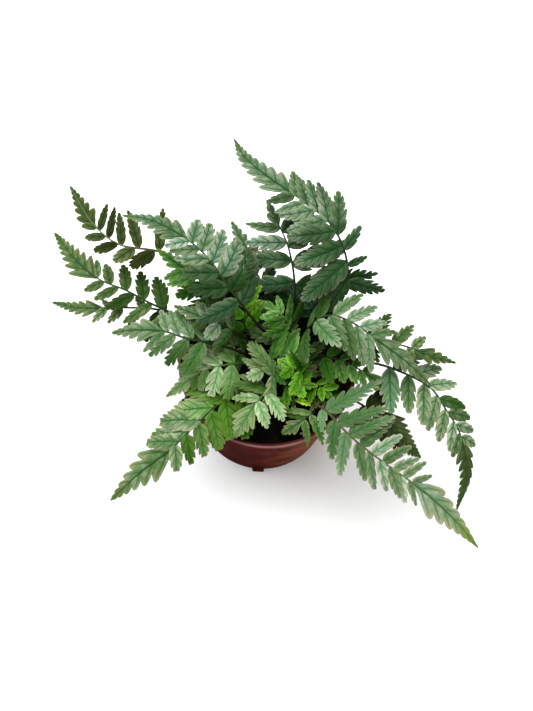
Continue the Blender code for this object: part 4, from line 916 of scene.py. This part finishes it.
def leafFinish(kind, look):
    made = Finish("leaf_" + kind)
    phase, across, part, tint, share, under = (made.attribute(name) for name in pointData)
    side = abs(across)
    cloud = made.noise(leafPattern["cloud"], 2)
    blotch = made.noise(leafPattern["blotch"], 4, 0.6)
    grain = made.noise(leafPattern["grain"], 2, 0.6)
    fromVein = abs((phase - side * frondShape["veinSweep"]).fraction() - 0.5)
    sideVein = (1 - fromVein.rise(0.0, 0.20)) * (1 - side.rise(0.70, 1.0))
    veins = (sideVein * (0.35 + blotch * 0.95)).larger(1 - side.rise(0.03, 0.14))
    outward = (side + (blotch - 0.5) * 0.7).rise(0.20, 0.95)
    colour = made.mix(outward, look["centre"], look["outer"])
    patches = (1 - veins) * (blotch * 0.6 + grain * 0.4).rise(0.44, 0.66)
    colour = made.mix(patches * look["patchShare"], colour, look["patch"])
    # Near the blade's foot: partly the young colour of basal leaflets, partly painted shade deep in the crown
    fresh = 1 - (share + (cloud - 0.5) * 0.5).rise(look["freshFrom"], look["freshUntil"])
    colour = made.mix(fresh * leafPattern["fresh"], colour, look["fresh"])
    colour = made.mix((1 - tint.rise(0.10, 0.50)) * leafPattern["darkLeaflets"], colour, look["fresh"])
    colour = made.mix(veins * (0.46 + tint * 0.34), colour, look["vein"])
    edge = side.rise(0.86, 1.0).larger(part.rise(0.84, 1.0)) * (blotch * 0.5 + cloud * 0.5).rise(0.40, 0.62)
    colour = made.mix(edge * leafPattern["margin"], colour, look["margin"])
    end = share.rise(look["endFrom"], look["endFrom"] + leafPattern["endLength"])
    colour = made.mix(end * leafPattern["end"], colour, look["end"])
    tone = tint * 0.55 + cloud * 0.45  # deep saturated green where low, pale and bluer where high
    colour = made.mix(1.0, colour, made.ramp(tone, leafTones), "MULTIPLY")
    underside = made.shaded(made.mix(veins * 0.5, look["under"], look["vein"]), 0.8 + grain * 0.4)
    colour = made.mix(under, colour, underside)
    height = made.cells(leafPattern["cells"]) * 0.25 + grain * 0.35 - veins * 0.8
    roughness = 0.40 + blotch * 0.16 + under * 0.2
    return made.finish(colour, roughness, made.bump(height, 0.35, 0.0004), Specular_IOR_Level=0.03)


# Colours of a stem from the soil to its tip, in thousandths of full light
stemLooks = {
    "dark": [(0, (7, 5, 2)), (0.35, (9, 14, 5)), (0.65, (15, 34, 12)), (1, (30, 62, 20))],
    "green": [(0, (9, 14, 3)), (0.35, (18, 45, 8)), (0.65, (45, 100, 22)), (1, (80, 140, 40))],
    "grey": [(0, (10, 14, 6)), (0.35, (18, 34, 18)), (0.65, (24, 55, 28)), (1, (26, 60, 18))],
    "brown": [(0, (14, 8, 4)), (0.38, (55, 36, 16)), (0.66, (90, 85, 40)), (1, (65, 115, 35))],
}


def stemFinish(kind, stops):
    made = Finish("stem_" + kind)
    share = made.attribute("share")
    blotch = made.noise(420, 3, 0.6)
    colour = made.ramp(share.rise(-0.6, 0.9), [(place, milli(colour)) for place, colour in stops])
    colour = made.mix(blotch.rise(0.54, 0.74) * 0.3, colour, (0.050, 0.040, 0.016))
    ribs = made.noise(900, 2, 0.5)
    return made.finish(colour, 0.45 + blotch * 0.25, made.bump(ribs, 0.4, 0.0002), Specular_IOR_Level=0.04)


# The pot: a turned wall with a thin lip, drain holes and small lugs round its foot
pot = {
    "height": 95 * mm,
    "rimRadius": 60 * mm,
    "footRadius": 47 * mm,
    "wall": 1.4 * mm,
    "floor": 2.0 * mm,
    "middle": 8 * mm,
    "lipHeight": 4.0 * mm,
    "lipOverhang": 1.4 * mm,
    "edgeRound": 0.9 * mm,
    "longestStep": 4 * mm,
    "sides": 168,
    "sharpAngle": 35,
    "drainHoles": 6,
    "drainRadius": 4.0 * mm,
    "drainDepth": 10 * mm,
    "drainSides": 28,
    "drainCircle": 34 * mm,
    "lugs": 4,
    "lugSize": (4.0 * mm, 8.5 * mm, 5.0 * mm),
    "lugRound": 0.16,
    "lugReach": 2.4 * mm,
    "lugTurn": -86,
    "paleSideFrom": (4 * mm, 46 * mm),  # along X, where the pale side begins and where it is full, and so the next five
    "lipHighlightFrom": (93.0 * mm, 94.0 * mm),
    "lipHighlightOutFrom": (58.5 * mm, 59.4 * mm),
    "rimTopFrom": (93.6 * mm, 94.6 * mm),
    "underLipShadeFrom": (89.3 * mm, 90.3 * mm),
    "underLipShadeOver": (90.9 * mm, 91.6 * mm),
    "dark": (0.034, 0.003, 0.002),
    "red": (0.064, 0.007, 0.004),
    "paleSide": (0.235, 0.088, 0.048),
    "scuffs": (0.150, 0.042, 0.026),
    "dirt": (0.024, 0.007, 0.004),
    "rimTop": (0.050, 0.010, 0.008),
    # Painted highlight along the lip's outer rounding, and painted shade under the lip
    "lipHighlight": (0.240, 0.125, 0.120),
    "underLipShade": (0.012, 0.002, 0.002),
}


def wallRadius(height):
    slope = (pot["rimRadius"] - pot["lipOverhang"] - pot["footRadius"]) / pot["height"]
    return pot["footRadius"] + slope * height


# (radius, height) corners with their sharp bends rounded
def rounded(corners, radius, steps=4):
    smooth = [corners[0]]
    for before, corner, after in zip(corners, corners[1:], corners[2:]):
        here = Vector(corner)
        toBefore, toAfter = Vector(before) - here, Vector(after) - here
        reach = min(radius, toBefore.length * 0.45, toAfter.length * 0.45)
        a, b = here + toBefore.normalized() * reach, here + toAfter.normalized() * reach
        for step in range(steps + 1):
            t = step / steps
            smooth.append(tuple(a.lerp(here, t).lerp(here.lerp(b, t), t)))
    return [*smooth, corners[-1]]


def makePot(finish):
    wall, rim, floor, height = pot["wall"], pot["rimRadius"], pot["floor"], pot["height"]
    lipLow = height - pot["lipHeight"]
    profile = rounded([
        (pot["middle"], floor),
        (wallRadius(floor) - wall, floor),
        (wallRadius(height) - wall, height),
        (rim, height),
        (rim, lipLow),
        (wallRadius(lipLow) + 0.1 * mm, lipLow),
        (wallRadius(0.0), 0.0),
        (pot["middle"], 0.0),
    ], pot["edgeRound"])
    dense = [profile[0]]
    for before, after in zip(profile, profile[1:]):
        cuts = max(1, round(math.dist(before, after) / pot["longestStep"]))
        dense += [tuple(Vector(before).lerp(Vector(after), (i + 1) / cuts)) for i in range(cuts)]
    body = Body()
    turnedBody(body, dense[::-1], pot["sides"])
    item = body.piece("nursery_pot", [finish])
    tools = bpy.data.collections.new("pot_tools")
    scene.collection.children.link(tools)
    for index in range(pot["drainHoles"]):
        angle = (index + 0.5) * math.tau / pot["drainHoles"]
        place = (pot["drainCircle"] * math.cos(angle), pot["drainCircle"] * math.sin(angle), floor)
        hole = bmesh.new()
        bmesh.ops.create_cone(hole, cap_ends=True, segments=pot["drainSides"], radius1=pot["drainRadius"],
                              radius2=pot["drainRadius"], depth=pot["drainDepth"])
        bmesh.ops.translate(hole, verts=hole.verts, vec=place)
        addTool(hole, f"drain_{index}", tools)
    cutWith(item, tools, "DIFFERENCE")
    reach = pot["footRadius"] + pot["lugReach"] - pot["lugSize"][0] / 2
    for index in range(pot["lugs"]):
        angle = math.radians(pot["lugTurn"]) + index * math.tau / pot["lugs"]
        lug = bmesh.new()
        bmesh.ops.create_cube(lug, size=1.0)
        bmesh.ops.bevel(lug, geom=lug.edges[:], offset=pot["lugRound"], segments=3, affect="EDGES", profile=0.5)
        place = Vector((reach * math.cos(angle), reach * math.sin(angle), pot["lugSize"][2] / 2))
        size = Matrix.Diagonal((*pot["lugSize"], 1.0))
        turn = Matrix.Translation(place) @ Matrix.Rotation(angle, 4, "Z") @ size
        bmesh.ops.transform(lug, matrix=turn, verts=lug.verts)
        addTool(lug, f"lug_{index}", tools)
    cutWith(item, tools, "UNION")
    bpy.data.collections.remove(tools)
    item.data.shade_smooth()
    item.data.set_sharp_from_angle(angle=math.radians(pot["sharpAngle"]))
    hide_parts("pot")
    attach(item, "root")


def addTool(shape, name, tools):
    mesh = bpy.data.meshes.new(name)
    shape.to_mesh(mesh)
    shape.free()
    tools.objects.link(bpy.data.objects.new(name, mesh))


# Joins the tools to a piece or cuts them out of it, and leaves a plain mesh
def cutWith(item, tools, operation):
    boolean = item.modifiers.new("cut", "BOOLEAN")
    boolean.operation = operation
    boolean.operand_type = "COLLECTION"
    boolean.collection = tools
    boolean.solver = "EXACT"
    graph = bpy.context.evaluated_depsgraph_get()
    mesh = bpy.data.meshes.new_from_object(item.evaluated_get(graph))
    item.modifiers.clear()
    item.data = mesh
    for tool in list(tools.objects):
        bpy.data.objects.remove(tool, do_unlink=True)


# Red plastic, paler towards +X, with a painted highlight along its lip and a painted shade line under it
def potFinish():
    made = Finish("pot_plastic_fine")
    cloud = made.noise(45, 4, 0.6)
    scuff = made.noise(260, 5, 0.7, (1, 1, 0.25))
    grain = made.noise(1800, 2, 0.6)
    place = made.place()
    sideways, height = (made.node("ShaderNodeSeparateXYZ", {}, {0: place}, axis) for axis in "XZ")
    flat = made.node("ShaderNodeVectorMath", {"operation": "MULTIPLY"}, {0: place, 1: (1.0, 1.0, 0.0)})
    away = made.node("ShaderNodeVectorMath", {"operation": "LENGTH"}, {0: flat}, "Value")
    paleSideShare = (sideways + (cloud - 0.5) * 0.05).rise(*pot["paleSideFrom"])
    # Painted highlight on the lip's outer rounding
    lipHighlight = height.rise(*pot["lipHighlightFrom"]) * away.rise(*pot["lipHighlightOutFrom"])
    rimTop = height.rise(*pot["rimTopFrom"])
    # Painted shade: a dark line under the overhanging lip
    underLipShade = height.rise(*pot["underLipShadeFrom"]) * (1 - height.rise(*pot["underLipShadeOver"]))
    dirt = made.noise(120, 4, 0.65).rise(0.56, 0.75)
    colour = made.mix(cloud.rise(0.38, 0.64), pot["dark"], pot["red"])
    layers = (
        (paleSideShare * (0.30 + grain * 0.7), "paleSide"),
        (scuff.rise(0.58, 0.76) * 0.18, "scuffs"),
        (dirt * 0.4, "dirt"),
        (rimTop * 0.7, "rimTop"),
        (lipHighlight * (0.45 + cloud * 0.5), "lipHighlight"),
        (underLipShade * 0.7, "underLipShade"),
    )
    for share, name in layers:
        colour = made.mix(share, colour, pot[name])
    roughness = 0.42 + scuff * 0.20 + paleSideShare * 0.2
    soft = made.bump(grain * 0.5 + scuff, 0.25, 0.0003)
    return made.finish(colour, roughness, soft, Specular_IOR_Level=0.002)


# The soil: a lumpy top, with crumbs and pale perlite grains on it
soil = {
    "level": 84 * mm,
    "crown": 1.5 * mm,
    "lumps": 1.1 * mm,
    "fine": 0.55 * mm,
    "finest": 0.35 * mm,
    "noises": ((0.04, 90), (0.07, 210), (0.3, 520), (0.9, 1300)),  # height in the noise and scale, large to small
    "rings": 66,
    "sides": 220,
    "gap": 0.15 * mm,
    "footGap": 2.3 * mm,
    "floorGap": 0.3 * mm,
    "footBend": (1 * mm, 2.7 * mm),
    "edge": 3 * mm,
    "crumbs": 900,
    "crumbKinds": 14,
    "crumbSize": (0.35 * mm, 1.1 * mm),
    "crumbRough": 0.35,
    "perlite": 0.02,
    "seed": 11,
    "colours": [
        (0.30, (0.0008, 0.0007, 0.0005)),
        (0.54, (0.0030, 0.0022, 0.0015)),
        (0.72, (0.0120, 0.0075, 0.0045)),
    ],
    "bark": (0.030, 0.014, 0.008),
    "perliteColour": (0.62, 0.62, 0.60),
}


def soilTop(x, y):
    away = math.hypot(x, y) / pot["rimRadius"]
    wide, narrow, fine, finest = (noise.noise(Vector((x, y, z)) * scale) for z, scale in soil["noises"])
    lumps = soil["lumps"] * (wide + 0.6 * narrow)
    fine = soil["fine"] * fine + soil["finest"] * finest
    return soil["level"] + soil["crown"] * (1 - away * away) + lumps + fine


# Radius inside the pot at the soil's top, less a margin
def soilRoom(margin):
    return wallRadius(soil["level"]) - pot["wall"] - margin


def makeSoil(finish):
    level, rings, top = soil["level"], soil["rings"], soilRoom(soil["gap"])
    low = wallRadius(pot["floor"]) - pot["wall"] - soil["footGap"]
    lowest = pot["floor"] + soil["floorGap"]
    out, up = soil["footBend"]
    profile = [(low * 0.3, lowest), (low, lowest), (low + out, lowest + up), (top, level - soil["edge"])]
    profile += [(top * (1 - ring / rings), level) for ring in range(rings - 1)]
    profile += [(top * 0.006, level)]

    def lumpy(points):
        for point in points.reshape(-1, 3):
            if point[2] > level - 1 * mm:
                point[2] = soilTop(point[0], point[1])
        return points

    body = Body()
    turnedBody(body, profile, soil["sides"], lumpy)
    item = body.piece("soil_bed", [finish], 180)
    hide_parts("soil")
    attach(item, "root")


def roughLump(chance):
    shape = bmesh.new()
    bmesh.ops.create_icosphere(shape, subdivisions=1, radius=1.0)
    shift = Vector((chance.random(), chance.random(), chance.random())) * 50
    for point in shape.verts:
        point.co *= 1 + soil["crumbRough"] * noise.noise(point.co * 1.3 + shift)
    points = np.array([point.co[:] for point in shape.verts])
    faces = [[point.index for point in face.verts] for face in shape.faces]
    shape.free()
    return points, faces


def makeCrumbs(finish):
    chance = random.Random(soil["seed"])
    kinds = [roughLump(chance) for _ in range(soil["crumbKinds"])]
    least, more = soil["crumbSize"]
    body = Body()
    room = soilRoom(1.5 * mm)
    for index in range(soil["crumbs"]):
        points, faces = kinds[index % len(kinds)]
        angle, away = chance.random() * math.tau, room * math.sqrt(chance.random())
        x, y = away * math.cos(angle), away * math.sin(angle)
        size = least + more * chance.random() ** 3
        flat = (1.0, 0.55 + 0.45 * chance.random(), 0.4 + 0.5 * chance.random())
        turn = Matrix.Rotation(chance.random() * math.tau, 3, "Z") @ Matrix.Rotation(chance.gauss(0, 0.4), 3, "X")
        placed = (points * flat * size) @ np.array(turn).T
        tint = chance.random() * 0.7
        if chance.random() < soil["perlite"]:
            tint = 1.0
        body.add(placed + (x, y, soilTop(x, y) + size * 0.25), faces, tint=tint)
    item = body.piece("soil_crumbs", [finish], 40)
    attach(item, "root")


def soilFinish():
    made = Finish("loose_soil")
    tint = made.attribute("tint")
    cloud = made.noise(300, 4, 0.65)
    grain = made.noise(2200, 3, 0.7)
    colour = made.ramp(cloud * 0.7 + grain * 0.3, soil["colours"])
    colour = made.mix(tint.rise(0.45, 0.7) * 0.6, colour, soil["bark"])
    colour = made.mix(tint.rise(0.93, 0.97), colour, soil["perliteColour"])
    soft = made.bump(grain + cloud, 0.8, 0.0008)
    return made.finish(colour, 0.85 + grain * 0.12, soft, Specular_IOR_Level=0.10)


# A mat of coir fibres that shows on the soil near the rim
coir = {
    "middle": (46 * mm, -4 * mm),
    "spread": (5.0 * mm, 8.0 * mm),
    "fibres": 130,
    "steps": 9,
    "length": (5 * mm, 13 * mm),
    "lift": 2.2 * mm,
    "clear": 0.3 * mm,
    "curl": 0.35,
    "wander": 0.25,
    "radius": (0.09 * mm, 0.20 * mm),
    "thinning": (0.5, 1.0, 0.3),
    "seed": 5,
    "dark": (0.030, 0.009, 0.004),
    "pale": (0.140, 0.052, 0.022),
}


def makeCoir(finish):
    chance = random.Random(coir["seed"])
    body = Body()
    steps = coir["steps"]
    for _ in range(coir["fibres"]):
        x, y = (middle + chance.gauss(0, spread / 2) for middle, spread in zip(coir["middle"], coir["spread"]))
        heading, turn = chance.random() * math.tau, chance.gauss(0, coir["curl"])
        step = chance.uniform(*coir["length"]) / steps
        lift = chance.random() * coir["lift"]
        places = []
        for index in range(steps + 1):
            room = min(1.0, soilRoom(1 * mm) / math.hypot(x, y))
            x, y = x * room, y * room
            places.append((x, y, soilTop(x, y) + coir["clear"] + lift * math.sin(math.pi * index / steps)))
            x, y = x + step * math.cos(heading), y + step * math.sin(heading)
            heading += turn + chance.gauss(0, coir["wander"])
        places = np.array(places)
        forward = unit(np.gradient(places, axis=0))
        across = unit(np.cross(forward, (0.0, 0.0, 1.0)))
        radii = np.interp(np.arange(steps + 1), (0, 5, steps), coir["thinning"]) * chance.uniform(*coir["radius"])
        addTube(body, places, radii, across, np.cross(across, forward), 4, tint=chance.random())
    item = body.piece("coir_fibres", [finish])
    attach(item, "root")


def coirFinish():
    made = Finish("coir_fibre")
    spots = made.noise(700, 2)
    colour = made.mix(made.attribute("tint").rise(0.1, 0.9), coir["dark"], coir["pale"])
    colour = made.shaded(colour, 0.6 + spots * 0.8)
    return made.finish(colour, 0.7 + spots * 0.2, made.bump(spots, 0.3, 0.0001), Specular_IOR_Level=0.2)


# Floor and light. Each light has a name, a place, a size, a power and a colour.
stage = {
    "floorSize": 12.0,
    "floorColour": (0.92, 0.92, 0.915),
    "worldColour": (1.0, 1.0, 1.0),
    "worldStrength": 0.26,
    "aim": (0, 0, 0.08),
    "lights": [
        ("overhead", (-0.22, 0.36, 1.28), 1.6, 41.5, (0.965, 0.985, 1.0)),
        ("front", (0.55, -0.95, 1.05), 0.9, 7.0, (1.0, 0.985, 0.96)),
        ("left", (-1.15, -0.10, 0.75), 0.8, 6.0, (0.94, 0.975, 1.0)),
    ],
}


def makeStage():
    half = stage["floorSize"] / 2
    mesh = bpy.data.meshes.new("floor")
    mesh.from_pydata([(-half, -half, 0), (half, -half, 0), (half, half, 0), (-half, half, 0)], [], [(0, 1, 2, 3)])
    floor = bpy.data.objects.new("floor", mesh)
    scene.collection.objects.link(floor)
    mesh.materials.append(Finish("pale_floor").finish(stage["floorColour"], 0.85))
    floor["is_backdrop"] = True
    for name, place, size, power, colour in stage["lights"]:
        light = bpy.data.lights.new(name, "AREA")
        light.shape = "DISK"
        light.size = size
        light.energy = power
        light.color = colour
        lamp = bpy.data.objects.new(name, light)
        lamp.location = place
        aim = Vector(stage["aim"]) - Vector(place)
        lamp.rotation_euler = aim.to_track_quat("-Z", "Y").to_euler()
        scene.collection.objects.link(lamp)
    world = bpy.data.worlds.new("studio")
    world.use_nodes = True
    sky = world.node_tree.nodes["Background"]
    sky.inputs["Color"].default_value = (*stage["worldColour"], 1.0)
    sky.inputs["Strength"].default_value = stage["worldStrength"]
    scene.world = world
    scene.view_settings.view_transform = "Standard"


placeCamera()
makeStage()
print("camera and stage in place")

makePot(potFinish())
print("pot turned")

earth = soilFinish()
makeSoil(earth)
makeCrumbs(earth)
makeCoir(coirFinish())
print("soil laid")

leaves = {kind: leafFinish(kind, look) for kind, look in leafLooks.items()}
stems = {kind: stemFinish(kind, stops) for kind, stops in stemLooks.items()}
for number, (name, plan) in enumerate(fronds.items()):
    Frond(name, plan, 100 + number + plan["seed"]).grow([leaves[plan["look"]], stems[plan["stemLook"]]])
print(f"{len(fronds)} fronds grown")

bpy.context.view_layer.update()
triangles = sum(sum(len(face.vertices) - 2 for face in item.data.polygons)
                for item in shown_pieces() if item.type == "MESH")
print(f"{triangles} triangles")
